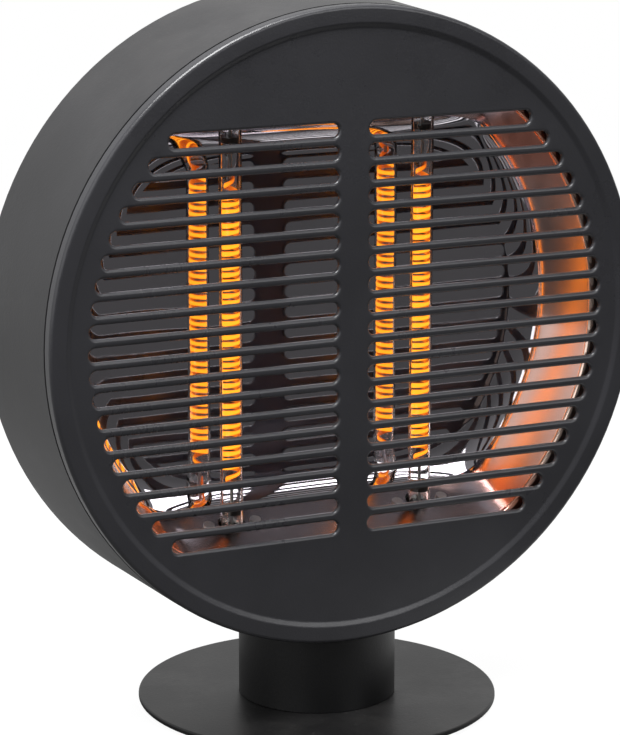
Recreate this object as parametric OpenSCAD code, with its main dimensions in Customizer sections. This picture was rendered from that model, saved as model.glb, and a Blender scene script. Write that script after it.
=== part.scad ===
// Round electric patio heater: a drum-shaped head with two quartz heating tubes
// behind a pressed, slotted front, on a short round column and a disc base.
// Millimetres. Z is up, the front faces -Y, the origin is on the floor below the column.

/* [Head] */
// Outer radius of the drum
head_r = 170; // [166:1:190]
// Depth of the head, front face to back face
head_d = 93; // [92:1:120]
// Growth of the drum's radius from its front to its back edge
draft = 2.5; // [0:0.1:4]
// Thickness of the drum, front and back sheet
sheet = 1; // [0.8:0.1:1.2]
// Outside corner radius of the pressed rims
corner_r = 2.2; // [1.6:0.1:3]

/* [Front panel] */
// Depth of the front panel's side flange
flange_d = 7; // [5:0.5:10]
// Width of the open seam between the flange and the drum
seam_w = 1.2; // [0.8:0.1:2]
// Width of the flat outer ring
ring_w = 8.4; // [8:0.2:12]
// Width of the pressed step inside the ring
step_w = 4; // [3:0.5:6]
// Depth that the face lies behind the ring
recess = 1.4; // [1:0.1:2.5]

/* [Slots] */
// Least height from the middle of the top row to the reflector's top edge
row_margin = 10; // [8:0.5:16]
// Height from one row to the next
row_pitch = 11.76; // [11:0.01:11.8]
// Height of a slot
slot_h = 7.4; // [6:0.1:7.8]
// Width of the plain strip between the two windows
spine_w = 17.4; // [12:0.2:26]
// Gap from the drum's outside to the circle that the outer slot ends reach
field_gap = 21.8; // [18:0.2:30]
// Radius of the drawn edge round each slot
lip_r = 1.6; // [0.8:0.1:1.8]
// Depth of the drawn edge behind the face sheet
lip_d = 1.4; // [0.8:0.1:2]
// Thickness of the drawn edge
lip_t = 0.8; // [0.6:0.1:1]

/* [Reflector] */
// Thickness of the reflector sheet
pan_t = 0.8; // [0.6:0.1:1]
// Depth of the wiring space behind the reflector's floor
bay_d = 37; // [35:0.5:40]
// Depth of the reflector's front edge behind the front
pan_front_d = 8.5; // [7:0.5:12]
// Gap from the drum's outside to the reflector's front edge, at the sides
mouth_gap = 20; // [17:0.5:24]
// Gap from the drum's outside to the reflector's front edge, at the top and bottom
end_gap = 54; // [52:0.5:58]
// Flare of the round side wall, from the crease to the front edge
side_flare = 12.5; // [8:0.5:15]
// Flare of the top and bottom walls, from the crease to the front edge
end_flare = 15; // [12:0.5:18]
// Width of the curved cove between the walls' crease and the flat floor
cove_w = 16; // [10:0.5:20]
// Height of the cove
cove_h = 6; // [4:0.5:8]
// Width of the turned-out front edge
edge_w = 3; // [2:0.5:4]
// Distance of the reflector's studs from the middle, sideways
stud_x = 90; // [80:1:95]
// Distance of the reflector's studs from the middle, upwards
stud_z = 60; // [50:1:68]
// Radius of the studs
stud_r = 2; // [1.5:0.1:2.5]
// Width of the two rails that carry the reflector
rail_w = 20; // [14:1:26]
// Thickness of the rails
rail_t = 1.5; // [1.2:0.1:2]
// Distance from the rails to the heat shield
shield_gap = 12; // [8:0.5:13]
// Distance that the heat shield's edge lies inside the reflector's floor
shield_in = 5; // [3:0.5:12]

/* [Heating tubes] */
// Distance of each tube from the middle
tube_x = 56; // [50:1:64]
// Depth of the tubes behind the front
tube_d = 34.3; // [30:0.1:36]
// Outer radius of a quartz tube
tube_r = 6; // [5.5:0.1:6.5]
// Wall of a quartz tube
tube_wall = 0.9; // [0.7:0.1:1.1]
// Clearance from the end caps to the drum
cap_room = 10; // [8:0.5:12]
// Depth that a tube's end sits in its cap
cap_seat = 6; // [4:0.5:7]
// Turns of the heating ribbon
coil_turns = 40; // [20:1:40]
// Pitch of the heating ribbon
coil_pitch = 3.7; // [3.4:0.05:3.8]
// Width of the heating ribbon
ribbon_w = 2.6; // [2:0.1:2.7]
// Thickness of the heating ribbon
ribbon_t = 0.8; // [0.6:0.1:1]
// Gap between the ribbon and the quartz
coil_gap = 0.4; // [0.3:0.1:0.8]
// Height that the ribbon's middle lies below the head's centre
coil_drop = 3; // [0:0.5:6]
// Height of the drawn-out tail at each end of the ribbon
tail_h = 9; // [6:0.5:12]
// Radius of the straight lead pins
pin_r = 0.9; // [0.7:0.1:1.2]
// Radius of the ceramic end caps
cap_r = 9; // [8.5:0.1:10]
// Length of the ceramic end caps
cap_l = 22; // [18:1:24]
// Distance of a holder's screws from its tube
holder_screw_x = 13.5; // [13:0.5:16]

/* [Column and base] */
// Outer radius of the column
column_r = 42.8; // [38:0.1:46]
// Wall of the column
column_wall = 1.5; // [1.2:0.1:2.5]
// Height of the column from the base to the underside of the drum
neck_h = 40.6; // [38:0.2:60]
// Radius of the base disc
base_r = 98; // [90:1:120]
// Thickness of the base disc
base_t = 3; // [3:0.5:5]
// Thickness of the rubber foot pads
pad_h = 2; // [1.5:0.5:4]
// Radius of the rubber foot pads
pad_r = 9; // [7:0.5:11]
// Radius of the circle of base screws
base_screw_r = 28; // [24:1:32]
// Thickness of the plate welded in the column's foot
foot_t = 4; // [3:0.5:6]
// Thickness of the coped plate welded in the column's top
top_t = 8; // [6:0.5:10]

/* [Tip-over switch] */
// Radius of the plunger
plunger_r = 3; // [2.5:0.1:3.5]
// Distance that the plunger drops when the heater is lifted
plunger_travel = 6; // [4:0.5:6]
// Turns of the plunger's spring
spring_turns = 5; // [4:1:6]
// Thickness of the plunger's spring wire
spring_wire = 0.8; // [0.6:0.1:0.9]

/* [Controls] */
// Distance of each rocker switch from the middle
switch_x = 22; // [18:1:30]
// Height of the controls above the drum's underside
control_up = 52; // [48:1:56]
// Height of a rocker switch's frame
switch_h = 23; // [21:0.5:25]
// Width of a rocker switch's frame
switch_w = 17; // [16:0.5:19]
// Tilt of a rocker to each side of level
rocker_tilt = 10; // [7:1:11]
// Distance of the cable gland from the middle
gland_x = 70; // [55:1:76]
// Radius of the cable that the gland takes
cable_r = 4; // [3:0.1:4.5]

/* [Vents] */
// Rows of vent slots in each bank on the back
vent_rows = 5; // [3:1:5]
// Height from one vent row to the next
vent_pitch = 12; // [10:0.5:13]
// Height of a vent slot
vent_h = 4.4; // [3:0.2:5]
// Length of a vent slot
vent_w = 60; // [40:1:75]
// Gap between the two vent slots of a row
vent_gap = 16; // [10:1:24]
// Distance from the last vent row to the switches
vent_room = 16.5; // [14:0.5:20]

/* [Fits] */
// Gap between a piece and the seat that holds it
fit = 0.2; // [0.1:0.05:0.3]
// Radial running clearance of a pin in its hole
running = 0.05; // [0.03:0.01:0.1]

/* [Hidden] */

// Colours of the finishes
BLACK_COAT = [0.17, 0.17, 0.18];
BLACK_PLASTIC = [0.08, 0.08, 0.08];
MIRROR = [0.82, 0.82, 0.84];
ZINC = [0.62, 0.64, 0.66];
CERAMIC = [0.88, 0.86, 0.80];
QUARTZ = [0.95, 0.80, 0.75, 0.35];
GLOW = [1.0, 0.62, 0.10];
RUBBER = [0.12, 0.12, 0.12];
BRASS = [0.75, 0.62, 0.30];

// Sides of true circles and of the coarse sweeps
FINE = 96;
ARC_STEPS = 5;

// Heights
base_z = pad_h;
base_top = base_z + base_t;
drum_bottom = base_top + neck_h;
head_z = drum_bottom + head_r;

// Radii and depths of the pressed sheets
drum_in = head_r - sheet;
back_r = head_r + draft;
tongue_r = drum_in - fit;
ring_in = head_r - ring_w;
face_r = ring_in - step_w;
face_back = recess + sheet;
post_r = 3;
post_circle = tongue_r - sheet - fit - post_r;
lip_in = face_r - 8.5;
cover_seat = head_d - recess;
cover_face = cover_seat + sheet;
cover_screw_circle = (lip_in + face_r) / 2;
screw_r = 1.5;
screw_core = 1.25;
tie_screw_l = 9;
tie_bore_l = 13;
cover_screw_l = 5;
POST_ANGLES = [0, 60, 120, 180, 240, 300];
COVER_ANGLES = [30, 90, 150, 210, 270, 330];

// Slot rows: heights, and the outer end of each on the field circle
field_r = head_r - field_gap;
mouth_r = head_r - mouth_gap;
mouth_z = head_r - end_gap;
rows = 2 * floor((mouth_z - row_margin) / row_pitch) + 1;
row_z = [for (i = [0 : rows - 1]) (i - (rows - 1) / 2) * row_pitch];
slot_in = spine_w / 2;
function slot_out(z) = sqrt(field_r * field_r - z * z);

// Reflector
floor_d = head_d - bay_d;
crease_d = floor_d - cove_h;
crease_r = mouth_r - side_flare;
crease_z = mouth_z - end_flare;
cove_r = (cove_w * cove_w + cove_h * cove_h) / (2 * cove_h);
cove_angle = 2 * atan(cove_h / cove_w);
shield_r = crease_r - shield_in;
shield_z = crease_z - shield_in;
rail_tab = 16;
floor_back = floor_d + pan_t;
rail_back = floor_back + rail_t;
shield_front = rail_back + shield_gap;
shield_back = shield_front + pan_t;
end_slope = atan(end_flare / (crease_d - pan_front_d));
end_wall_z = crease_z + (crease_d - tube_d) * tan(end_slope);
nut_h = 3.2;

// Heating tubes
coil_r = tube_r - tube_wall - coil_gap - ribbon_t / 2;
coil_half = coil_turns * coil_pitch / 2;
pin_gap = 0.3;
cap_end = sqrt(drum_in * drum_in - (tube_x + cap_r) * (tube_x + cap_r)) - cap_room;
cap_start = cap_end - cap_l;
tube_half = cap_start + cap_seat;
cap_neck = 6;
spacer_l = 3;
spacer_in = 7;
holder_t = 1.2;
holder_plate = [2 * holder_screw_x + 9, 24];

// Column, base and tip-over switch
column_in = column_r - column_wall;
foot_top = base_top + foot_t;
screw5_r = 2.5;
screw5_core = 2.1;
screw5_head = 4.6;
saddle_hole_x = 16;
saddle_hole_y = 22;
SADDLE_HOLES = [for (x = [-1, 1], y = [-1, 1]) [saddle_hole_x * x, saddle_hole_y * y]];
saddle_w = 56;
saddle_l = 64;
saddle_h = 10;
saddle_top = drum_bottom + saddle_h;
wire_hole_r = 9;
cope_h = 12;
tip_floor = 2;
tip_bore_r = 6;
collar_h = 2;
collar_low = foot_top + tip_floor + plunger_travel + 0.5;
tip_top = collar_low + collar_h + 10;
spring_r = 4.4;

// Controls
control_z = head_r - control_up;
vent_start = control_z - switch_h / 2 - vent_room - (vent_rows - 1) * vent_pitch;
frame_t = 1.6;
frame_wall = 1.2;
switch_body = [switch_w - 3.2, switch_h - 3.2];
switch_face = cover_face + frame_t;
rocker_rise = 2;
pivot_d = switch_face - rocker_rise * cos(rocker_tilt);
rocker_half = switch_body.y / 2 - frame_wall - 0.9;
rocker_w = switch_body.x - 2 * frame_wall - 0.6;
rocker_pin_r = 1;
frame_depth = 12;
tab_w = 4.8;
tab_t = 0.8;
tab_l = 6;
tab_y = 4;
gland_body_r = cable_r + 3.6;

// Points on an arc, from angle a0 to a1
function arc(centre, r, a0, a1, steps = ARC_STEPS) =
    [for (i = [0 : steps]) let (a = a0 + (a1 - a0) * i / steps) centre + r * [cos(a), sin(a)]];

// Points of the smooth pressed step: out is the radius it starts at, rise its change of depth
function press_step(out, start, rise, steps = 6) =
    [for (i = [0 : steps]) [out - step_w * i / steps, start + rise * (1 - cos(180 * i / steps)) / 2]];

function reversed(list) = [for (i = [len(list) - 1 : -1 : 0]) list[i]];

// Places children in the head, with X across, Y down and Z the depth behind the front plane
module from_front() {
    translate([0, -head_d / 2, head_z]) rotate([-90, 0, 0]) children();
}

// Outer radius of the drum's tapered wall at a depth behind the front plane
function wall_r(d) = head_r + draft * d / (head_d - corner_r);

// The drum's tapered wall as a solid cone, grown by a gap
module wall_cone(gap) {
    translate([0, 0, -base_r])
        cylinder(r1 = wall_r(-base_r) + gap, r2 = wall_r(head_d + base_r) + gap,
                 h = head_d + 2 * base_r, $fn = 2 * FINE);
}

// Places a child at each angle of a circle about Z
module around(r, angles) {
    for (a = angles) rotate(a) translate([r, 0, 0]) children();
}

// Pan-head screw: the head's seat is at z = 0 and the shank runs down
module pan_screw(r, length) {
    cylinder(r = 2 * r, h = 0.9 * r, $fn = 32);
    translate([0, 0, -length]) cylinder(r = r, h = length, $fn = 32);
}

// Round-ended slot standing on z = d0, from x0 to x1
module slot_prism(x0, x1, half, d0, d1) {
    translate([x0 + half, -half, d0]) cube([x1 - x0 - 2 * half, 2 * half, d1 - d0]);
    for (x = [x0 + half, x1 - half]) translate([x, 0, d0]) cylinder(r = half, h = d1 - d0, $fn = 32);
}

// Base

// Flat steel disc with a softened edge, countersunk holes and the plunger's hole
module base_plate() {
    edge = 1;
    color(BLACK_COAT) difference() {
        translate([0, 0, base_z]) rotate_extrude($fn = FINE) polygon(concat(
            [[0, 0], [base_r - edge, 0]],
            arc([base_r - edge, edge], edge, -90, 0),
            arc([base_r - edge, base_t - edge], edge, 0, 90),
            [[0, base_t]]));
        translate([0, 0, base_z]) around(base_screw_r, [45, 135, 225, 315]) {
            translate([0, 0, -1]) cylinder(r = screw5_r + fit, h = base_t + 2, $fn = 32);
            translate([0, 0, -0.01]) cylinder(r1 = screw5_head + fit, r2 = screw5_r + fit, h = 2.2, $fn = 32);
        }
        translate([0, 0, base_z - 1]) cylinder(r = plunger_r + 1, h = base_t + 2, $fn = 32);
    }
}

// Four round rubber pads under the rim
module foot_pads() {
    color(RUBBER) around(base_r - pad_r - 4, [45, 135, 225, 315]) cylinder(r = pad_r, h = pad_h, $fn = 48);
}

// Countersunk screws from below into the column's foot
module base_screws() {
    color(ZINC) translate([0, 0, base_z]) around(base_screw_r, [45, 135, 225, 315]) {
        cylinder(r1 = screw5_head, r2 = screw5_r, h = 2.1, $fn = 32);
        cylinder(r = screw5_core - 0.1, h = base_t + foot_t, $fn = 32);
    }
}

// Column

// Plate welded in the foot of the column, tapped for the base screws
module column_foot() {
    color(ZINC) translate([0, 0, base_top]) difference() {
        cylinder(r = column_in - 0.1, h = foot_t, $fn = FINE);
        translate([0, 0, -1]) {
            around(base_screw_r, [45, 135, 225, 315]) cylinder(r = screw5_core, h = foot_t + 2, $fn = 32);
            cylinder(r = plunger_r + 1, h = foot_t + 2, $fn = 32);
            for (x = [-1, 1]) translate([x * tip_screw_x, 0, 0]) cylinder(r = screw_core, h = foot_t + 2, $fn = 24);
        }
    }
}

// The space taken by the drum, grown by a gap
module drum_space(gap) {
    from_front() wall_cone(gap);
}

// Round tube, coped at the top to the drum
module column_tube() {
    color(BLACK_COAT) difference() {
        translate([0, 0, base_top]) cylinder(r = column_r, h = neck_h + cope_h, $fn = FINE);
        translate([0, 0, base_top - 1]) cylinder(r = column_in, h = neck_h + cope_h + 2, $fn = FINE);
        drum_space(fit);
    }
}

// Coped plate welded in the top of the column, tapped for the saddle screws
module column_head() {
    color(ZINC) difference() {
        translate([0, 0, drum_bottom - top_t]) cylinder(r = column_in - 0.1, h = top_t + cope_h, $fn = FINE);
        drum_space(fit);
        translate([0, 0, drum_bottom - top_t - 1]) {
            for (p = SADDLE_HOLES) translate(p) cylinder(r = screw5_core, h = top_t + 4, $fn = 32);
            cylinder(r = wire_hole_r, h = top_t + 4, $fn = 48);
        }
    }
}

// Tip-over switch

tip_screw_x = tip_bore_r + 7;

// Round housing with two ears, guiding the plunger
module tip_switch_body() {
    ear = 4;
    color(BLACK_PLASTIC) difference() {
        translate([0, 0, foot_top]) union() {
            cylinder(r = tip_bore_r + 1.5, h = tip_top - foot_top, $fn = 48);
            translate([-tip_screw_x, -ear, 0]) cube([2 * tip_screw_x, 2 * ear, tip_floor]);
            for (x = [-1, 1]) translate([x * tip_screw_x, 0, 0]) cylinder(r = ear, h = tip_floor, $fn = 32);
        }
        translate([0, 0, foot_top - 1]) cylinder(r = plunger_r + running, h = 4, $fn = 48);
        translate([0, 0, foot_top + tip_floor])
            cylinder(r = tip_bore_r, h = tip_top - foot_top - tip_floor - 2, $fn = 48);
        for (x = [-1, 1]) translate([x * tip_screw_x, 0, foot_top - 1])
            cylinder(r = screw_r + fit, h = tip_floor + 2, $fn = 24);
    }
}

module tip_switch_screws() {
    color(ZINC) for (x = [-1, 1]) translate([x * tip_screw_x, 0, foot_top + tip_floor])
        pan_screw(screw_core - 0.1, tip_floor + foot_t - 1);
}

// Plunger, pressed flush with the floor while the heater stands
module tip_plunger() {
    dome = 1;
    color(BLACK_PLASTIC) {
        rotate_extrude($fn = 48) polygon(concat(
            [[0, 0], [plunger_r - dome, 0]],
            arc([plunger_r - dome, dome], dome, -90, 0),
            [[plunger_r, collar_low], [tip_bore_r - 0.5, collar_low],
             [tip_bore_r - 0.5, collar_low + collar_h], [spring_r - spring_wire - 0.4, collar_low + collar_h],
             [spring_r - spring_wire - 0.4, collar_low + collar_h + 3], [0, collar_low + collar_h + 3]]));
    }
}

module tip_spring() {
    foot = collar_low + collar_h + 0.1;
    room = tip_top - 2 - 0.1 - foot - spring_wire;
    color(ZINC) translate([0, 0, foot + spring_wire / 2])
        wound(spring_turns, room / spring_turns, spring_r, spring_wire, spring_wire, 0, spring_r, "tip spring");
}

// Drum

// Pressed shell with a draft: a joggled tongue at the front, a stepped lip at the back
module drum_shell() {
    wall_front = flange_d + seam_w;
    tongue_end = 3.2;
    color(BLACK_COAT) difference() {
        from_front() rotate_extrude($fn = 2 * FINE) polygon(concat(
            [[tongue_r, tongue_end], [tongue_r, wall_front], [wall_r(wall_front), wall_front]],
            arc([back_r - corner_r, head_d - corner_r], corner_r, 0, 90),
            press_step(ring_in, head_d, -recess),
            [[lip_in, cover_seat], [lip_in, cover_seat - sheet]],
            reversed(press_step(ring_in, head_d - sheet, -recess)),
            arc([back_r - corner_r, head_d - corner_r], corner_r - sheet, 90, 0),
            [[wall_r(wall_front) - sheet, wall_front + sheet], [tongue_r - sheet, wall_front + sheet],
             [tongue_r - sheet, tongue_end]]));
        from_front() {
            translate([0, 0, head_d - 5]) around(post_circle, POST_ANGLES) cylinder(r = screw_r + fit, h = 10, $fn = 24);
            translate([0, 0, cover_seat - 5]) around(cover_screw_circle, COVER_ANGLES) cylinder(r = screw_core, h = 10, $fn = 24);
        }
        translate([0, 0, drum_bottom - draft - 1]) {
            for (p = SADDLE_HOLES) translate(p) cylinder(r = screw5_r + fit, h = saddle_h, $fn = 32);
            cylinder(r = wire_hole_r, h = saddle_h, $fn = 48);
        }
    }
}

// Block inside the drum that spreads the column's load: curved below, flat above
module drum_saddle() {
    color(ZINC) difference() {
        intersection() {
            translate([-saddle_w / 2, -saddle_l / 2, drum_bottom - draft])
                cube([saddle_w, saddle_l, saddle_h + draft]);
            drum_space(-sheet - fit);
        }
        translate([0, 0, drum_bottom - draft - 1]) {
            for (p = SADDLE_HOLES) translate(p) cylinder(r = screw5_r + fit, h = saddle_h + draft + 2, $fn = 32);
            cylinder(r = wire_hole_r, h = saddle_h + draft + 2, $fn = 48);
        }
    }
}

module saddle_screws() {
    color(ZINC) for (p = SADDLE_HOLES) translate([p.x, p.y, saddle_top])
        pan_screw(screw5_core - 0.1, saddle_top - drum_bottom + top_t - 1);
}

// Front panel

// Section of a slot cutter: half its width, and the depth from the drawn edge to the back
function slot_section(half) = concat(
    [[half + lip_r, recess - 1]],
    [for (a = [0 : 22.5 : 90]) [half + lip_r * (1 - sin(a)), recess + lip_r * (1 - cos(a))]],
    [[half, face_back + lip_d + 1]]);

// Cutter for one slot with a rounded edge all round, from x0 to x1
module slot_cutter(x0, x1) {
    half = slot_h / 2;
    side = slot_section(half);
    translate([x0 + half, 0, 0]) rotate([90, 0, 90]) linear_extrude(height = x1 - x0 - slot_h)
        polygon(concat(side, reversed([for (p = side) [-p.x, p.y]])));
    for (x = [x0 + half, x1 - half]) translate([x, 0, 0]) rotate_extrude($fn = 32)
        polygon(concat([[0, recess - 1]], side, [[0, face_back + lip_d + 1]]));
}

// Pressed front: side flange, flat ring, step, and a face with two windows of slots
module front_grille() {
    color(BLACK_COAT) from_front() difference() {
        union() {
            rotate_extrude($fn = 2 * FINE) polygon(concat(
                [[head_r, flange_d]],
                arc([head_r - corner_r, corner_r], corner_r, 0, -90),
                press_step(ring_in, 0, recess),
                [[0, recess], [0, face_back]],
                reversed(press_step(ring_in, sheet, recess)),
                arc([head_r - corner_r, corner_r], corner_r - sheet, -90, 0),
                [[drum_in, flange_d]]));
            for (z = row_z, side = [-1, 1]) translate([0, -z, 0]) mirror([side < 0 ? 1 : 0, 0, 0])
                slot_prism(slot_in - lip_t, slot_out(z) + lip_t, slot_h / 2 + lip_t, face_back - 0.2, face_back + lip_d);
        }
        for (z = row_z, side = [-1, 1]) translate([0, -z, 0]) mirror([side < 0 ? 1 : 0, 0, 0])
            slot_cutter(slot_in, slot_out(z));
    }
}

// Six tapped posts from the front ring to the drum's back ring
module tie_posts() {
    color(ZINC) from_front() around(post_circle, POST_ANGLES) difference() {
        translate([0, 0, sheet]) cylinder(r = post_r, h = head_d - 2 * sheet, $fn = 32);
        translate([0, 0, head_d - tie_bore_l]) cylinder(r = screw_core, h = tie_bore_l + 1, $fn = 24);
    }
}

module tie_screws() {
    color(ZINC) from_front() translate([0, 0, head_d]) around(post_circle, POST_ANGLES)
        pan_screw(screw_core - 0.1, tie_screw_l);
}

// Back cover

// Two banks of vent slots, above and below the middle
module vents() {
    for (bank = [-1, 1], i = [0 : vent_rows - 1], x = [-vent_w - vent_gap / 2, vent_gap / 2])
        translate([x, bank * (vent_start + i * vent_pitch), 0])
            slot_prism(0, vent_w, vent_h / 2, cover_seat - 1, cover_face + 1);
}

module back_cover() {
    color(BLACK_COAT) from_front() difference() {
        translate([0, 0, cover_seat]) cylinder(r = face_r - fit, h = sheet, $fn = FINE);
        vents();
        for (x = [-1, 1]) translate([x * switch_x - switch_body.x / 2 - fit, control_z - switch_body.y / 2 - fit, cover_seat - 1])
            cube([switch_body.x + 2 * fit, switch_body.y + 2 * fit, sheet + 2]);
        translate([gland_x, control_z, cover_seat - 1]) cylinder(r = gland_body_r + fit, h = sheet + 2, $fn = 48);
        translate([0, 0, cover_seat - 1]) around(cover_screw_circle, COVER_ANGLES)
            cylinder(r = screw_r + fit, h = sheet + 2, $fn = 24);
    }
}

module cover_screws() {
    color(ZINC) from_front() translate([0, 0, cover_face]) around(cover_screw_circle, COVER_ANGLES)
        pan_screw(screw_core - 0.1, cover_screw_l);
}

// Reflector

// Half outline of the pan from the front edge to the floor: a sloped wall, a crease and a curved cove
function pan_path(mouth, crease, grow, lead) =
    let (slope = atan((mouth - crease) / (crease_d - pan_front_d)),
        wall = [cos(slope), sin(slope)],
        cove = [sin(cove_angle), cos(cove_angle)],
        corner = [crease, crease_d] + grow * (wall + cove) / (1 + wall * cove),
        curve = arc([crease - cove_w, floor_d - cove_r], cove_r + grow, 90 - cove_angle, 90))
    concat([[mouth + grow / cos(slope) + lead * tan(slope), pan_front_d - lead], corner],
        [for (i = [1 : len(curve) - 1]) curve[i]]);

// The pan's solid: a flared round dish with its top and bottom cut by flared walls
module pan_solid(grow, lead) {
    round_side = pan_path(mouth_r, crease_r, grow, lead);
    flat_side = pan_path(mouth_z, crease_z, grow, lead);
    intersection() {
        rotate_extrude($fn = 2 * FINE) polygon(concat(
            [[0, pan_front_d - lead]], round_side, [[0, floor_d + grow]]));
        rotate([90, 0, 90]) linear_extrude(height = 2 * mouth_r + 20, center = true)
            polygon(concat(flat_side, reversed([for (p = flat_side) [-p.x, p.y]])));
    }
}

// Places children on an end wall at a tube: Z is the wall's outward normal, z = 0 its inner face
module on_end_wall(x, top) {
    translate([x, (top ? -1 : 1) * end_wall_z, tube_d])
        rotate([top ? 90 - end_slope : -90 + end_slope, 0, 0]) children();
}

// Holes through an end wall for one tube: the tube's own and its holder's screws
module tube_holes(x, top) {
    translate([x, 0, tube_d]) rotate([top ? 90 : -90, 0, 0]) cylinder(r = tube_r + 1.5, h = mouth_z + 20, $fn = 48);
    on_end_wall(x, top) for (s = [-1, 1]) translate([s * holder_screw_x, 0, -2])
        cylinder(r = screw_r + fit, h = 8, $fn = 24);
}

// Polished pan with a turned-out edge and four studs behind its floor
module reflector_pan() {
    color(MIRROR) from_front() {
        difference() {
            union() {
                pan_solid(pan_t, 0);
                intersection() {
                    translate([0, 0, pan_front_d]) cylinder(r = mouth_r + edge_w, h = pan_t, $fn = 2 * FINE);
                    translate([-mouth_r - 10, -mouth_z - edge_w, pan_front_d])
                        cube([2 * mouth_r + 20, 2 * (mouth_z + edge_w), pan_t]);
                }
            }
            pan_solid(0, 1);
            for (x = [-tube_x, tube_x], top = [false, true]) tube_holes(x, top);
        }
        for (x = [-stud_x, stud_x], y = [-stud_z, stud_z]) translate([x, y, floor_back - 0.3])
            cylinder(r = stud_r, h = shield_back + nut_h + 1 - floor_back + 0.3, $fn = 32);
    }
}

// Two straps across the drum, with ends turned back along its wall
module reflector_rails() {
    color(ZINC) from_front() for (y = [-stud_z, stud_z]) difference() {
        union() {
            intersection() {
                wall_cone(-sheet - fit);
                translate([-back_r, y - rail_w / 2, floor_back]) cube([2 * back_r, rail_w, rail_t]);
            }
            intersection() {
                difference() {
                    wall_cone(-sheet - fit);
                    wall_cone(-sheet - fit - rail_t);
                }
                translate([-back_r, y - rail_w / 2, floor_back]) cube([2 * back_r, rail_w, rail_tab]);
            }
        }
        for (x = [-stud_x, stud_x]) translate([x, y, floor_back - 1]) cylinder(r = stud_r + fit, h = rail_t + 2, $fn = 32);
    }
}

module at_studs(d) {
    for (x = [-stud_x, stud_x], y = [-stud_z, stud_z]) translate([x, y, d]) children();
}

module shield_spacers() {
    color(ZINC) from_front() at_studs(rail_back) difference() {
        cylinder(r = stud_r + 2, h = shield_gap, $fn = 32);
        translate([0, 0, -1]) cylinder(r = stud_r + fit, h = shield_gap + 2, $fn = 32);
    }
}

// Flat sheet between the hot pan and the wiring
module heat_shield() {
    color(ZINC) from_front() difference() {
        intersection() {
            translate([0, 0, shield_front]) cylinder(r = shield_r, h = pan_t, $fn = FINE);
            translate([-shield_r, -shield_z, shield_front]) cube([2 * shield_r, 2 * shield_z, pan_t]);
        }
        at_studs(shield_front - 1) cylinder(r = stud_r + fit, h = pan_t + 2, $fn = 32);
    }
}

module shield_nuts() {
    color(ZINC) from_front() at_studs(shield_back) difference() {
        cylinder(r = stud_r * 2, h = nut_h, $fn = 6);
        translate([0, 0, -1]) cylinder(r = stud_r + 0.05, h = nut_h + 2, $fn = 32);
    }
}

// Heating tubes

// Places children on a tube's axis, with Z up along it
module at_tube(side) {
    translate([side * tube_x, tube_d - head_d / 2, head_z]) children();
}

module quartz_tube(side) {
    color(QUARTZ) at_tube(side) difference() {
        cylinder(r = tube_r, h = 2 * tube_half, center = true, $fn = 48);
        cylinder(r = tube_r - tube_wall, h = 2 * tube_half + 2, center = true, $fn = 48);
    }
}

// Centre line of a winding, in turns: plain turns between two drawn-out tails of one turn each
function winding_z(s, turns, pitch, tail) =
    s < 0 ? tail * s : s > turns ? turns * pitch + tail * (s - turns) : s * pitch;
function winding_r(s, turns, r, tail_r) =
    s < 0 ? r + (r - tail_r) * s : s > turns ? r - (r - tail_r) * (s - turns) : r;

// One unbroken wound strip of 6 sides, 8 rings a turn, with its least gap to itself printed
module wound(turns, pitch, r, width, thick, tail, tail_r, title) {
    steps = 8;
    sides = 6;
    extra = tail > 0 ? 1 : 0;
    rings = [for (i = [-extra * steps : (turns + extra) * steps]) i / steps];
    section = [[0.5, 0.3], [0, 0.5], [-0.5, 0.3], [-0.5, -0.3], [0, -0.5], [0.5, -0.3]];
    points = [for (s = rings, p = section)
        let (a = 360 * s, q = winding_r(s, turns, r, tail_r) + p.x * thick)
        [q * cos(a), q * sin(a), winding_z(s, turns, pitch, tail) + p.y * width]];
    walls = [for (i = [0 : len(rings) - 2], j = [0 : sides - 1])
        let (a = i * sides + j, b = i * sides + (j + 1) % sides)
        each [[a, b, b + sides], [a, b + sides, a + sides]]];
    last = (len(rings) - 1) * sides;
    ends = [for (j = [1 : sides - 2]) each [[0, j + 1, j], [last, last + j, last + j + 1]]];
    least = min([for (i = [0 : len(rings) - steps - 1], a = [0 : sides - 1], b = [0 : sides - 1])
        norm(points[i * sides + a] - points[(i + steps) * sides + b])]);
    echo(str("least gap of the ", title, " to itself, mm: "), least);
    polyhedron(points = points, faces = [for (f = concat(walls, ends)) reversed(f)], convexity = 10);
}

// Glowing ribbon wound inside a tube
module filament(side) {
    color(GLOW) at_tube(side) translate([0, 0, -coil_drop - coil_half])
        wound(coil_turns, coil_pitch, coil_r, ribbon_w, ribbon_t, tail_h, pin_r + pin_gap + ribbon_t / 2, "heating ribbon");
}

// Straight pins from the ribbon's tails into the end caps
module lead_pins(side) {
    from_coil = tail_h - ribbon_w / 2;
    top_start = coil_half - coil_drop + from_coil;
    bottom_start = -coil_half - coil_drop - from_coil;
    stop = cap_end - 5;
    color(ZINC) at_tube(side) {
        translate([0, 0, top_start]) cylinder(r = pin_r, h = stop - top_start, $fn = 24);
        translate([0, 0, -stop]) cylinder(r = pin_r, h = stop + bottom_start, $fn = 24);
    }
}

// Dark discs that centre the pins near the tube's ends
module lead_spacers(side) {
    color(BLACK_PLASTIC) at_tube(side) for (z = [-end_wall_z + spacer_in, end_wall_z - spacer_in]) translate([0, 0, z]) difference() {
        cylinder(r = tube_r - tube_wall - fit, h = spacer_l, center = true, $fn = 32);
        cylinder(r = pin_r + 0.1, h = spacer_l + 2, center = true, $fn = 24);
    }
}

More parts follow.
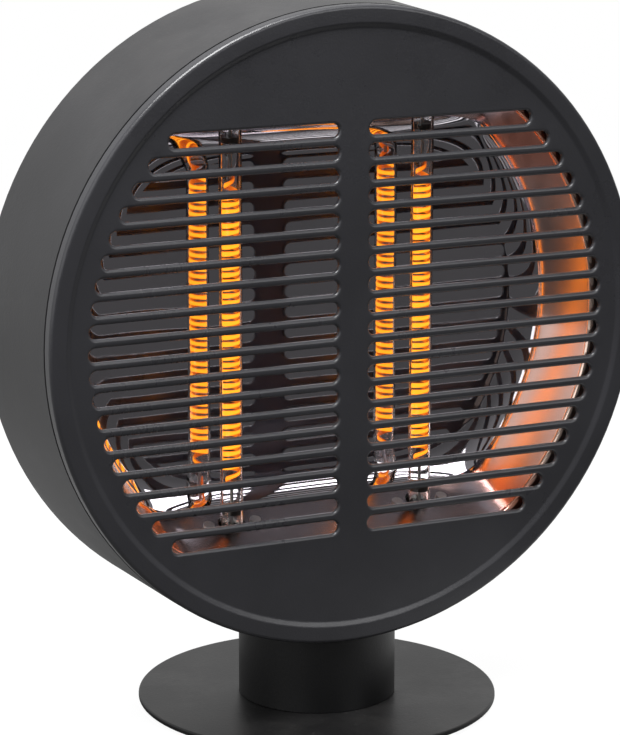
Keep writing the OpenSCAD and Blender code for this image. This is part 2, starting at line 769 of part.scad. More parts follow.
// Stepped ceramic cap over a tube's end, with a wire hole
module end_cap(side, up) {
    color(CERAMIC) at_tube(side) mirror([0, 0, up > 0 ? 0 : 1]) translate([0, 0, cap_start]) difference() {
        union() {
            cylinder(r = cap_r, h = cap_l - cap_neck, $fn = 48);
            cylinder(r = cap_r - 2.5, h = cap_l, $fn = 48);
        }
        translate([0, 0, -1]) cylinder(r = tube_r + fit, h = cap_seat + 1 + fit, $fn = 48);
        cylinder(r = pin_r + 0.1, h = cap_l + 1, $fn = 24);
        translate([0, 0, cap_l - 5]) cylinder(r = 2, h = 6, $fn = 24);
    }
}

// Holder on the outside of an end wall: a plate with two ears beside the end cap
module tube_holder(side, top) {
    ear_in = cap_r + fit;
    plate_low = pan_t;
    color(ZINC) from_front() difference() {
        union() {
            on_end_wall(side * tube_x, top) translate([-holder_plate.x / 2, -holder_plate.y / 2, plate_low])
                cube([holder_plate.x, holder_plate.y, holder_t]);
            for (s = [-1, 1]) intersection() {
                translate([side * tube_x + (s > 0 ? ear_in : -ear_in - holder_t), top ? -cap_end + 4 : 0, tube_d - 7])
                    cube([holder_t, cap_end - 4, 14]);
                on_end_wall(side * tube_x, top) translate([-30, -30, plate_low + 0.2]) cube([60, 60, 60]);
            }
        }
        tube_holes(side * tube_x, top);
    }
}

// Small screws through the end walls into the holders
module holder_screws() {
    color(ZINC) from_front() for (x = [-tube_x, tube_x], top = [false, true])
        on_end_wall(x, top) for (s = [-1, 1]) translate([s * holder_screw_x, 0, 0]) rotate([180, 0, 0])
            pan_screw(screw_r, pan_t + holder_t + 2);
}

// Wiring pieces
poles = 3;
pole_w = 12;
block_y = 30;
block_w = 20;
block_h = 13;
block_screw_r = 2;
wire_z = 5;
wire_r = 1.8;
rib_gap = 1.6;
rib_h = 4;

// Ceramic block of three poles on the back of the heat shield
module terminal_block() {
    color(CERAMIC) from_front() translate([0, block_y, shield_back]) difference() {
        translate([-poles * pole_w / 2, -block_w / 2, 0]) cube([poles * pole_w, block_w, block_h]);
        for (i = [0 : poles - 1]) translate([(i - (poles - 1) / 2) * pole_w, 0, 0]) {
            for (y = [-block_w / 4, block_w / 4]) translate([0, y, wire_z + 1])
                cylinder(r = block_screw_r, h = block_h, $fn = 24);
            translate([0, 0, wire_z]) rotate([90, 0, 0]) cylinder(r = wire_r, h = block_w + 2, center = true, $fn = 24);
        }
        for (i = [1 : poles - 1]) translate([(i - poles / 2) * pole_w - rib_gap / 2, -block_w / 2 - 1, block_h - rib_h])
            cube([rib_gap, block_w + 2, rib_h + 1]);
    }
}

// Round cut-out switch on the heat shield
module thermal_cutout() {
    color(BLACK_PLASTIC) from_front() translate([0, -40, shield_back]) {
        cylinder(r = 9, h = 4, $fn = 48);
        cylinder(r = 7.5, h = 9, $fn = 48);
        for (x = [-1, 1]) translate([x * 5 - 0.4, -2.5, 8.5]) cube([0.8, 5, 5]);
    }
}

// Rocker switches

// Places children at a rocker's pivot: X across, Y down and Z out of the back
module at_pivot(side) {
    from_front() translate([side * switch_x, control_z, pivot_d]) children();
}

module switch_frame(side) {
    rise = switch_face - pivot_d;
    body_back = -frame_depth;
    cavity = [switch_body.x - 2 * frame_wall, switch_body.y - 2 * frame_wall];
    color(BLACK_PLASTIC) at_pivot(side) difference() {
        union() {
            translate([-switch_w / 2, -switch_h / 2, rise - frame_t]) cube([switch_w, switch_h, frame_t]);
            translate([-switch_body.x / 2, -switch_body.y / 2, body_back])
                cube([switch_body.x, switch_body.y, rise - body_back]);
        }
        translate([-cavity.x / 2, -cavity.y / 2, body_back + 2]) cube([cavity.x, cavity.y, rise - body_back]);
        rotate([0, 90, 0]) cylinder(r = rocker_pin_r + running, h = switch_body.x + 2, center = true, $fn = 32);
    }
}

// Rocker with its two faces meeting over the pivot, tilted to the on side
module rocker(side) {
    wing = rocker_rise + rocker_half * tan(rocker_tilt);
    outline = [[-rocker_half, wing], [-rocker_half, 1], [-rocker_half / 2, -3], [rocker_half / 2, -3],
        [rocker_half, 1], [rocker_half, wing], [0, rocker_rise]];
    color(BLACK_PLASTIC) at_pivot(side) rotate([rocker_tilt, 0, 0]) {
        rotate([90, 0, 90]) linear_extrude(height = rocker_w, center = true) polygon(outline);
        rotate([0, 90, 0]) cylinder(r = rocker_pin_r, h = rocker_w + 2, center = true, $fn = 32);
    }
}

// Two flat contacts behind each switch
module switch_tabs() {
    color(BRASS) for (side = [-1, 1]) at_pivot(side) for (y = [-tab_y, tab_y])
        translate([-tab_w / 2, y - tab_t / 2, -frame_depth - tab_l]) cube([tab_w, tab_t, tab_l]);
}

// Cable gland

module at_gland() {
    from_front() translate([gland_x, control_z, 0]) children();
}

gland_hex = gland_body_r + 3.4;
gland_hex_h = 5;
locknut_h = 4;
gland_cap_h = 11;
seal_h = 7;

// Body with a round neck through the cover and a hexagon outside it
module cable_gland() {
    color(BLACK_PLASTIC) at_gland() difference() {
        union() {
            translate([0, 0, cover_seat - locknut_h - 3]) cylinder(r = gland_body_r, h = locknut_h + 3 + sheet + 1, $fn = 48);
            translate([0, 0, cover_face]) cylinder(r = gland_hex, h = gland_hex_h, $fn = 6);
        }
        translate([0, 0, cover_seat - locknut_h - 4]) cylinder(r = cable_r + 0.5, h = 30, $fn = 48);
    }
}

module gland_locknut() {
    color(BLACK_PLASTIC) at_gland() translate([0, 0, cover_seat - locknut_h]) difference() {
        cylinder(r = gland_hex, h = locknut_h, $fn = 6);
        translate([0, 0, -1]) cylinder(r = gland_body_r + 0.05, h = locknut_h + 2, $fn = 48);
    }
}

// Domed cap that closes the seal on the cable
module gland_cap() {
    dome = 4;
    color(BLACK_PLASTIC) at_gland() translate([0, 0, cover_face + gland_hex_h]) difference() {
        rotate_extrude($fn = 48) polygon(concat(
            [[0, 0], [gland_body_r + 1.4, 0]],
            arc([gland_body_r + 1.4 - dome, gland_cap_h - dome], dome, 0, 90),
            [[0, gland_cap_h]]));
        translate([0, 0, -1]) cylinder(r = cable_r + 2.5, h = seal_h + 1 + fit, $fn = 48);
        cylinder(r = cable_r + 0.5, h = gland_cap_h + 1, $fn = 48);
    }
}

module gland_seal() {
    color(RUBBER) at_gland() translate([0, 0, cover_face + gland_hex_h]) difference() {
        cylinder(r = cable_r + 2.5 - 0.1, h = seal_h, $fn = 48);
        translate([0, 0, -1]) cylinder(r = cable_r, h = seal_h + 2, $fn = 48);
    }
}

base_plate();
foot_pads();
base_screws();
column_foot();
column_tube();
column_head();
tip_switch_body();
tip_switch_screws();
tip_plunger();
tip_spring();
drum_shell();
drum_saddle();
saddle_screws();
front_grille();
tie_posts();
tie_screws();
back_cover();
cover_screws();
reflector_pan();
reflector_rails();
shield_spacers();
heat_shield();
shield_nuts();
quartz_tube(-1);  // quartz_tube_left
quartz_tube(1);  // quartz_tube_right
filament(-1);  // filament_left
filament(1);  // filament_right
lead_pins(-1);  // lead_pins_left
lead_pins(1);  // lead_pins_right
lead_spacers(-1);  // lead_spacers_left
lead_spacers(1);  // lead_spacers_right
end_cap(-1, 1);  // end_cap_top_left
end_cap(1, 1);  // end_cap_top_right
end_cap(-1, -1);  // end_cap_bottom_left
end_cap(1, -1);  // end_cap_bottom_right
tube_holder(-1, true);  // tube_holder_top_left
tube_holder(1, true);  // tube_holder_top_right
tube_holder(-1, false);  // tube_holder_bottom_left
tube_holder(1, false);  // tube_holder_bottom_right
holder_screws();
terminal_block();
thermal_cutout();
switch_frame(-1);  // switch_frame_left
switch_frame(1);  // switch_frame_right
rocker(-1);  // rocker_left
rocker(1);  // rocker_right
switch_tabs();
cable_gland();
gland_locknut();
gland_cap();
gland_seal();
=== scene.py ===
"""Round infrared patio heater: the pieces that show, their finishes, the studio and the camera.

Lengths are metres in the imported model's frame: +Z up, the slotted front towards -Y.
"""
from __future__ import annotations

import logging
import math
from dataclasses import dataclass, field
from enum import Enum
from typing import Sequence

import bpy
import numpy as np
from mathutils import Matrix, Vector

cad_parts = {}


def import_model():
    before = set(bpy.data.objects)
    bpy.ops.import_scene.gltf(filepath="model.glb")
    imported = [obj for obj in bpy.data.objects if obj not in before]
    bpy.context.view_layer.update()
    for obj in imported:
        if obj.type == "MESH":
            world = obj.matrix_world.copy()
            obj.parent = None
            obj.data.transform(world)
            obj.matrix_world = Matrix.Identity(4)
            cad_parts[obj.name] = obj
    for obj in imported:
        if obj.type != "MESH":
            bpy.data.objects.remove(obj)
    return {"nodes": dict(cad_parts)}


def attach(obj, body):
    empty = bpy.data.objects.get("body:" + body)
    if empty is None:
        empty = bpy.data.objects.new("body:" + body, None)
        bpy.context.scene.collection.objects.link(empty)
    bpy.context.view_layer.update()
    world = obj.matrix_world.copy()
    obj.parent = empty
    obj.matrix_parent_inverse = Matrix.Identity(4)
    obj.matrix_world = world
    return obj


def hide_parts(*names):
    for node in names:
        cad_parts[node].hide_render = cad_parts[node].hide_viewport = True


LOG = logging.getLogger("heater")

Array = np.ndarray
Colour = tuple[float, float, float]
Span = tuple[float, float]

# Edges that turn by more than this many degrees stay sharp, on most pieces, on cut ones and on the tubes
SHARP = 35.0
SHARP_CUT = 30.0
SHARP_WOUND = 60.0

# Edges that turn by more than this many degrees are eased
EASED_ANGLE = 40.0

# Decimals of a metre that two corners of a CAD node agree in to be one
NODE_DIGITS = 6


class Body(Enum):
    """The bodies that pieces ride on."""

    HEATER = "heater"
    LEFT_ROCKER = "left_rocker"
    RIGHT_ROCKER = "right_rocker"
    PLUNGER = "plunger"


class Side(Enum):
    """The two heating tubes, with the sign of their place across the head."""

    LEFT = -1
    RIGHT = 1

    @property
    def word(self) -> str:
        """The side's name as the nodes spell it."""
        return self.name.lower()


# Surfaces in numbers


@dataclass
class Surface:
    """A mesh as arrays.

    Args:
        points: Corner positions, one row each.
        faces: Arrays of corner numbers, one array for each count of corners in a face.
        values: Named numbers, one for each corner.
    """

    points: Array
    faces: list[Array]
    values: dict[str, Array] = field(default_factory=dict)

    def joined(self, *others: Surface) -> Surface:
        """Puts surfaces side by side in one.

        Args:
            others: Surfaces that carry the same named values.

        Returns:
            The joined surface.
        """
        parts = (self, *others)
        starts = np.cumsum([0] + [len(p.points) for p in parts[:-1]])
        faces = [f + s for p, s in zip(parts, starts) for f in p.faces]
        values = {k: np.concatenate([p.values[k] for p in parts]) for k in self.values}
        return Surface(np.concatenate([p.points for p in parts]), faces, values)

    def merged(self, digits: int = 7) -> Surface:
        """Merges corners that share a place, and drops faces that lose their area by it.

        Args:
            digits: Decimals of a metre that two corners have to agree in.

        Returns:
            The merged surface.
        """
        rounded = np.round(self.points, digits)
        _, first, number = np.unique(rounded, axis=0, return_index=True, return_inverse=True)
        number = number.reshape(-1)
        faces = []
        for block in self.faces:
            new = number[block]
            same = new == np.roll(new, 1, axis=1)
            faces.append(new[~same.any(axis=1)])
            once = new[same.sum(axis=1) == 1]
            if block.shape[1] == 4 and len(once):
                keep = ~(once == np.roll(once, 1, axis=1))
                faces.append(once[keep].reshape(-1, 3))
        values = {k: v[first] for k, v in self.values.items()}
        return Surface(self.points[first], [f for f in faces if len(f)], values)

    def volume(self) -> float:
        """Signed volume inside the faces: the sum of a . (b x c) / 6 over fans of triangles.

        Returns:
            The volume, below zero where the faces point inwards.
        """
        total = 0.0
        for block in self.faces:
            a = self.points[block[:, 0]]
            for k in range(1, block.shape[1] - 1):
                b, c = self.points[block[:, k]], self.points[block[:, k + 1]]
                total += float(np.einsum("ij,ij->", a, np.cross(b, c)))
        return total / 6

    def flipped(self) -> Surface:
        """The same surface with its faces turned over."""
        return Surface(self.points, [f[:, ::-1] for f in self.faces], self.values)

    def facing_out(self) -> Surface:
        """The surface with its faces outwards, if it is closed."""
        return self if self.volume() > 0 else self.flipped()

    def facing(self, eye: Sequence[float]) -> Surface:
        """The surface with most of its area turned towards a point.

        Args:
            eye: The point.

        Returns:
            The surface.
        """
        shown = 0.0
        for block in self.faces:
            a, b, c = (self.points[block[:, k]] for k in range(3))
            shown += float(np.einsum("ij,ij->", np.cross(b - a, c - a), np.asarray(eye) - a))
        return self if shown > 0 else self.flipped()

    def mesh(self, name: str) -> bpy.types.Mesh:
        """Writes the arrays into a new mesh with smooth faces.

        Args:
            name: The mesh's name.

        Returns:
            The mesh.
        """
        mesh = bpy.data.meshes.new(name)
        loops = np.concatenate([f.reshape(-1) for f in self.faces]).astype(np.int32)
        counts = np.concatenate([np.full(len(f), f.shape[1]) for f in self.faces]).astype(np.int32)
        starts = np.concatenate([[0], np.cumsum(counts)[:-1]]).astype(np.int32)
        mesh.vertices.add(len(self.points))
        mesh.vertices.foreach_set("co", self.points.astype(np.float32).reshape(-1))
        mesh.loops.add(len(loops))
        mesh.loops.foreach_set("vertex_index", loops)
        mesh.polygons.add(len(counts))
        mesh.polygons.foreach_set("loop_start", starts)
        mesh.polygons.foreach_set("loop_total", counts)
        mesh.polygons.foreach_set("use_smooth", np.ones(len(counts), dtype=bool))
        for key, numbers in self.values.items():
            layer = mesh.attributes.new(key, "FLOAT", "POINT")
            layer.data.foreach_set("value", numbers.astype(np.float32))
        mesh.update(calc_edges=True)
        mesh.validate()
        return mesh


def sheet(points: Array, wrap_rows: bool = False, wrap_columns: bool = False, flip: bool = False) -> Surface:
    """Joins a grid of points into four-cornered faces.

    Args:
        points: Grid of points, rows by columns by three.
        wrap_rows: Whether the last row joins the first.
        wrap_columns: Whether the last column joins the first.
        flip: Whether the faces point the other way.

    Returns:
        The surface.
    """
    rows, columns = points.shape[:2]
    r = np.arange(rows if wrap_rows else rows - 1)[:, None]
    c = np.arange(columns if wrap_columns else columns - 1)[None, :]
    down, right = (r + 1) % rows, (c + 1) % columns
    corners = [r * columns + c, r * columns + right, down * columns + right, down * columns + c]
    quads = np.stack([np.broadcast_to(k, (r.size, c.size)) for k in corners], axis=-1).reshape(-1, 4)
    return Surface(points.reshape(-1, 3), [quads[:, ::-1] if flip else quads])


def turned(profile: Array, centre: Sequence[float], segments: int, flip: bool = False) -> Surface:
    """Turns a closed profile about a line parallel to Z: the point at angle a is (r cos a, r sin a, z).

    Args:
        profile: Closed outline, radius and height for each point.
        centre: Place of the line.
        segments: Steps round the circle.
        flip: Whether the faces point the other way.

    Returns:
        The closed surface.
    """
    angle = np.linspace(0, 2 * np.pi, segments, endpoint=False)[:, None]
    radius, height = profile[:, 0][None, :], profile[:, 1][None, :]
    points = np.stack(np.broadcast_arrays(radius * np.cos(angle), radius * np.sin(angle), height), axis=-1)
    return sheet(points + np.asarray(centre), True, True, flip)


def stand(data: bpy.types.ID, name: str) -> bpy.types.Object:
    """Puts a mesh, camera or lamp in the scene; returns its object."""
    item = bpy.data.objects.new(name, data)
    bpy.context.scene.collection.objects.link(item)
    return item


def place(surface: Surface, name: str, finish: bpy.types.Material, body: Body,
          stands_for: Sequence[str] = (), sharp: float = SHARP) -> bpy.types.Object:
    """Makes a surface a piece of the object: links it, dresses it and makes it ride.

    Args:
        surface: The piece's shape, in place.
        name: The piece's name.
        finish: Its material.
        body: The body that it rides on.
        stands_for: CAD nodes that the piece replaces.
        sharp: Edges that turn by more than this many degrees stay sharp.

    Returns:
        The piece.
    """
    mesh = surface.mesh(name)
    mesh.set_sharp_from_angle(angle=math.radians(sharp))
    piece = stand(mesh, name)
    mesh.materials.append(finish)
    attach(piece, body.value)
    if stands_for:
        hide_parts(*stands_for)
    LOG.info("piece %s: %d points", name, len(mesh.vertices))
    return piece


def node_surface(node: str) -> Surface:
    """Reads a CAD node's loose triangles as one merged surface.

    Args:
        node: The node's name.

    Returns:
        The surface, with its corners merged.
    """
    mesh = FRAME["nodes"][node].data
    points = np.empty(len(mesh.vertices) * 3, dtype=np.float32)
    mesh.vertices.foreach_get("co", points)
    mesh.calc_loop_triangles()
    corners = np.empty(len(mesh.loop_triangles) * 3, dtype=np.int32)
    mesh.loop_triangles.foreach_get("vertices", corners)
    return Surface(points.reshape(-1, 3).astype(float), [corners.reshape(-1, 3)]).merged(NODE_DIGITS)


def shade_evenly(piece: bpy.types.Object) -> None:
    """Weighs a piece's normals by the area of its faces, so that flat faces shade flat.

    Args:
        piece: The piece.
    """
    even = piece.modifiers.new("even_shading", "WEIGHTED_NORMAL")
    even.mode = "FACE_AREA"
    even.weight = 100
    even.keep_sharp = True


def settle(piece: bpy.types.Object, sharp: float) -> None:
    """Applies a piece's modifiers to its mesh, and evens its shading again.

    Args:
        piece: The piece.
        sharp: Edges that turn by more than this many degrees stay sharp.
    """
    graph = bpy.context.evaluated_depsgraph_get()
    mesh = bpy.data.meshes.new_from_object(piece.evaluated_get(graph))
    old = piece.data
    piece.modifiers.clear()
    piece.data = mesh
    bpy.data.meshes.remove(old)
    mesh.set_sharp_from_angle(angle=math.radians(sharp))
    shade_evenly(piece)


def refined(node: str, name: str, finish: bpy.types.Material, slot: str, bevel: float = 0.0,
            body: Body = Body.HEATER) -> None:
    """Replaces a CAD node by a merged copy whose curves shade smoothly and whose edges may be eased.

    Args:
        node: The CAD node.
        name: The new piece's name.
        finish: Its material.
        slot: Not used.
        bevel: Width of the eased edges, none at zero.
        body: The body that it rides on.
    """
    piece = place(node_surface(node), name, finish, body, (node,))
    if bevel:
        ease = piece.modifiers.new("eased_edges", "BEVEL")
        ease.width = bevel
        ease.segments = 2
        ease.limit_method = "ANGLE"
        ease.angle_limit = math.radians(EASED_ANGLE)
        ease.harden_normals = False
    shade_evenly(piece)


# Shader graphs


def rgba(colour: Colour, level: float = 1.0) -> tuple[float, ...]:
    """A colour at a share of its brightness, with its alpha, as a socket takes it."""
    return tuple(level * c for c in colour) + (1.0,)


class Graph:
    """Short calls for building a node tree."""

    def __init__(self, tree: bpy.types.NodeTree) -> None:
        """Keeps the tree that nodes are added to."""
        self.tree = tree

    def add(self, kind: str, inputs: dict | None = None, **settings: object) -> bpy.types.Node:
        """Adds a node.

        Args:
            kind: The node's type name.
            inputs: Values or output sockets for its inputs, by name or number.
            settings: Attributes to set on the node.

        Returns:
            The node.
        """
        node = self.tree.nodes.new(kind)
        for key, value in settings.items():
            setattr(node, key, value)
        for key, value in (inputs or {}).items():
            if isinstance(value, bpy.types.NodeSocket):
                self.tree.links.new(value, node.inputs[key])
            else:
                node.inputs[key].default_value = value
        return node

    def feed(self, node: bpy.types.Node, socket: str, value: bpy.types.NodeSocket) -> None:
        """Links a value to a node's input."""
        self.tree.links.new(value, node.inputs[socket])

    def maths(self, operation: str, a: object, b: object = 0.0, clamp: bool = False) -> bpy.types.NodeSocket:
        """One step of arithmetic on two values or sockets; returns its result."""
        return self.add("ShaderNodeMath", {0: a, 1: b}, operation=operation, use_clamp=clamp).outputs[0]

    def times(self, a: object, b: object) -> bpy.types.NodeSocket:
        """The product of two values or sockets."""
        return self.maths("MULTIPLY", a, b)

    def greater(self, a: object, b: object) -> bpy.types.NodeSocket:
        """The greater of two values or sockets."""
        return self.maths("MAXIMUM", a, b)

    def noise(self, vector: object, scale: object, detail: float, rough: float) -> bpy.types.NodeSocket:
        """Noise between 0 and 1 over a vector; returns its value."""
        inputs = {"Vector": vector, "Scale": scale, "Detail": detail, "Roughness": rough}
        return self.add("ShaderNodeTexNoise", inputs).outputs["Fac"]

    def spread(self, value: object, span: Span, low: float = 0.0, high: float = 1.0) -> bpy.types.NodeSocket:
        """Carries a value from a span to low and high, smoothly and within its ends; returns the result."""
        inputs = {0: value, 1: span[0], 2: span[1], 3: low, 4: high}
        return self.add("ShaderNodeMapRange", inputs, interpolation_type="SMOOTHSTEP").outputs[0]

    def blend(self, factor: object, first: object, second: object) -> bpy.types.NodeSocket:
        """Mixes two colours.

        Args:
            factor: Share of the second colour.
            first: The first colour, or its socket.
            second: The second colour, or its socket.

        Returns:
            The mixed colour.
        """
        node = self.add("ShaderNodeMix", data_type="RGBA")
        sockets = [s for s in node.inputs if s.enabled]
        for socket, value in zip(sockets, (factor, first, second)):
            if isinstance(value, bpy.types.NodeSocket):
                self.tree.links.new(value, socket)
            else:
                socket.default_value = value
        return next(s for s in node.outputs if s.enabled)

    def axes(self, vector: bpy.types.NodeSocket) -> bpy.types.bpy_prop_collection:
        """Takes a vector apart; returns its numbers by axis."""
        return self.add("ShaderNodeSeparateXYZ", {0: vector}).outputs


@dataclass(frozen=True)
class GroupPlan:
    """Names of a node group's inputs with their first values, and of its outputs."""

    name: str
    inputs: tuple[tuple[str, float], ...]
    outputs: tuple[str, ...]

    def start(self) -> tuple[Graph, bpy.types.bpy_prop_collection, bpy.types.Node]:
        """Makes the group's tree.

        Returns:
            The graph, what its input node gives, and its output node.
        """
        tree = bpy.data.node_groups.new(self.name, "ShaderNodeTree")
        tree.interface.new_socket("Vector", in_out="INPUT", socket_type="NodeSocketVector")
        for label, value in self.inputs:
            socket = tree.interface.new_socket(label, in_out="INPUT", socket_type="NodeSocketFloat")
            socket.default_value = value
        for label in self.outputs:
            tree.interface.new_socket(label, in_out="OUTPUT", socket_type="NodeSocketFloat")
        graph = Graph(tree)
        return graph, graph.add("NodeGroupInput").outputs, graph.add("NodeGroupOutput")


class Effects:
    """The effects that several finishes share, each built once as a node group."""

    def __init__(self) -> None:
        """Builds every group."""
        self.peel = self._peel()
        self.smudge = self._smudge()
        self.rolling = self._rolling()
        self.dust = self._dust()

    @staticmethod
    def _peel() -> bpy.types.NodeTree:
        """Sprayed coat: fine round lumps as height, and a slow change of tone as mottle.

        The height is noise + 0.35 cells, where the cells are 0.55 times as fine as the noise.

        Returns:
            The group.
        """
        plan = GroupPlan("sprayed_coat", (("Scale", 900.0), ("Lumps", 1.0)), ("Height", "Mottle"))
        graph, given, out = plan.start()
        fine = graph.noise(given["Vector"], given["Scale"], 3.0, 0.55)
        inputs = {"Vector": given["Vector"], "Scale": graph.times(given["Scale"], 0.55)}
        cells = graph.add("ShaderNodeTexVoronoi", inputs, feature="SMOOTH_F1").outputs["Distance"]
        lumps = graph.maths("ADD", fine, graph.times(cells, 0.35))
        graph.feed(out, "Height", graph.times(lumps, given["Lumps"]))
        slow = graph.noise(given["Vector"], graph.times(given["Scale"], 0.012), 4.0, 0.6)
        graph.feed(out, "Mottle", graph.spread(slow, (0.3, 0.7)))
        return graph.tree

    @staticmethod
    def _smudge() -> bpy.types.NodeTree:
        """Handling marks: soft patches times finer ones, nine times as small, times the cover.

        Returns:
            The group.
        """
        graph, given, out = GroupPlan("handling_marks", (("Scale", 22.0), ("Cover", 0.5)), ("Mask",)).start()
        wide = graph.noise(given["Vector"], given["Scale"], 3.0, 0.6)
        small = graph.noise(given["Vector"], graph.times(given["Scale"], 9.0), 4.0, 0.65)
        broken = graph.times(graph.spread(wide, (0.42, 0.68)), graph.spread(small, (0.3, 0.7), 0.35, 1.0))
        graph.feed(out, "Mask", graph.maths("MULTIPLY", broken, given["Cover"], True))
        return graph.tree

    @staticmethod
    def _rolling() -> bpy.types.NodeTree:
        """Rolled sheet: noise drawn out along Z into fine lines as height, and slow waves of the sheet.

        Returns:
            The group.
        """
        graph, given, out = GroupPlan("rolled_sheet", (("Lines", 2600.0), ("Waves", 14.0)),
                                      ("Height", "Wave")).start()
        drawn_out = {0: given["Vector"], 1: (1.0, 1.0, 0.012)}
        thin = graph.add("ShaderNodeVectorMath", drawn_out, operation="MULTIPLY").outputs[0]
        graph.feed(out, "Height", graph.noise(thin, given["Lines"], 2.0, 0.5))
        graph.feed(out, "Wave", graph.noise(given["Vector"], given["Waves"], 1.0, 0.4))
        return graph.tree

    @staticmethod
    def _dust() -> bpy.types.NodeTree:
        """Dust: specks plus a thin film, times how far the surface faces up, times the amount.

        Returns:
            The group.
        """
        graph, given, out = GroupPlan("settled_dust", (("Amount", 0.3), ("Scale", 500.0)), ("Mask",)).start()
        up = graph.axes(graph.add("ShaderNodeNewGeometry").outputs["Normal"])["Z"]
        specks = graph.spread(graph.noise(given["Vector"], given["Scale"], 2.0, 0.6), (0.62, 0.75))
        film = graph.spread(graph.noise(given["Vector"], 30.0, 3.0, 0.6), (0.3, 0.75), 0.1, 0.6)
        cover = graph.times(graph.maths("ADD", specks, film), graph.spread(up, (0.35, 1.0)))
        graph.feed(out, "Mask", graph.maths("MULTIPLY", cover, given["Amount"], True))
        return graph.tree


# Finishes

# The whole span of a mask
WHOLE: Span = (0.0, 1.0)


class Mix(Graph):
    """A material in the making: a graph with its shader and its Object coordinates."""

    def __init__(self, name: str, fixed: dict[str, object]) -> None:
        """Starts the material.

        Args:
            name: The material's name.
            fixed: Values of the shader's own sockets.
        """
        self.material = bpy.data.materials.new(name)
        self.material.use_nodes = True
        self.material.node_tree.nodes.clear()
        super().__init__(self.material.node_tree)
        self.shader = self.add("ShaderNodeBsdfPrincipled", fixed)
        self.add("ShaderNodeOutputMaterial", {"Surface": self.shader.outputs[0]})
        self.spot = self.add("ShaderNodeTexCoord").outputs["Object"]

    def laid(self, tree: bpy.types.NodeTree, **values: float) -> bpy.types.bpy_prop_collection:
        """Lays a shared effect over the piece.

        Args:
            tree: The effect's group.
            values: Its inputs.

        Returns:
            What the group gives, by name.
        """
        node = self.add("ShaderNodeGroup", node_tree=tree)
        self.feed(node, "Vector", self.spot)
        for key, value in values.items():
            node.inputs[key].default_value = value
        return node.outputs

    def tone(self, colour: bpy.types.NodeSocket) -> None:
        """Feeds the shader its colour."""
        self.feed(self.shader, "Base Color", colour)

    def rough(self, value: bpy.types.NodeSocket) -> None:
        """Feeds the shader its roughness."""
        self.feed(self.shader, "Roughness", value)

    def bump(self, height: bpy.types.NodeSocket, depth: float) -> None:
        """Feeds a height of about 0 to 1 to the shader's normal; a height of 1 stands proud by the depth."""
        node = self.add("ShaderNodeBump", {"Strength": 1.0, "Distance": depth, "Height": height})
        self.feed(self.shader, "Normal", node.outputs[0])


@dataclass(frozen=True)
class Finish:
    """What every finish has: a name, and the effects that its graph may use.

    Args:
        name: The material's name.
        effects: The shared node groups.
    """

    name: str
    effects: Effects

    def material(self) -> bpy.types.Material:
        """Builds the material; each finish has its own way.

        Returns:
            The material.
        """
        raise NotImplementedError


@dataclass(frozen=True)
class SprayedCoat(Finish):
    """Black powder coat with a fine peel, a slow change of tone and a trace of dust.

    On faces that look backwards, a pale bluish tone is painted in: painted light standing in for the light
    that reaches the back of the sheet.
    """

    colour: Colour
    rough: float = 0.42
    dust: float = 0.10
    peel: float = 0.00007
    # share of painted back light: a pale bluish tone painted on backward-facing faces
    painted_back_light: float = 0.0
    painted_back_light_colour: Colour = (0.26, 0.30, 0.38)
    dust_colour: Colour = (0.20, 0.19, 0.18)
    backwards: Span = (0.80, 0.98)
    tones: Span = (0.86, 1.12)
    polish: float = 0.07

    def material(self) -> bpy.types.Material:
        """Builds the material: tone by mottle, then painted back light and dust over it, smoother where
        handled.

        Returns:
            The material.
        """
        mix = Mix(self.name, {"Metallic": 0.0, "IOR": 1.5, "Specular IOR Level": 0.5})
        coat = mix.laid(self.effects.peel)
        marks = mix.laid(self.effects.smudge, Scale=16.0, Cover=0.7)["Mask"]
        dust = mix.laid(self.effects.dust, Amount=self.dust)["Mask"]
        facing = mix.axes(mix.add("ShaderNodeTexCoord").outputs["Normal"])["Y"]
        # painted light: backward-facing faces turn towards a pale bluish tone
        painted_back_lit = mix.spread(facing, self.backwards, 0.0, self.painted_back_light)
        mottled = mix.blend(coat["Mottle"], *(rgba(self.colour, level) for level in self.tones))
        coated = mix.blend(painted_back_lit, mottled, rgba(self.painted_back_light_colour))
        mix.tone(mix.blend(dust, coated, rgba(self.dust_colour)))
        mix.rough(mix.spread(marks, WHOLE, self.rough, self.rough - self.polish))
        mix.bump(coat["Height"], self.peel)
        return mix.material


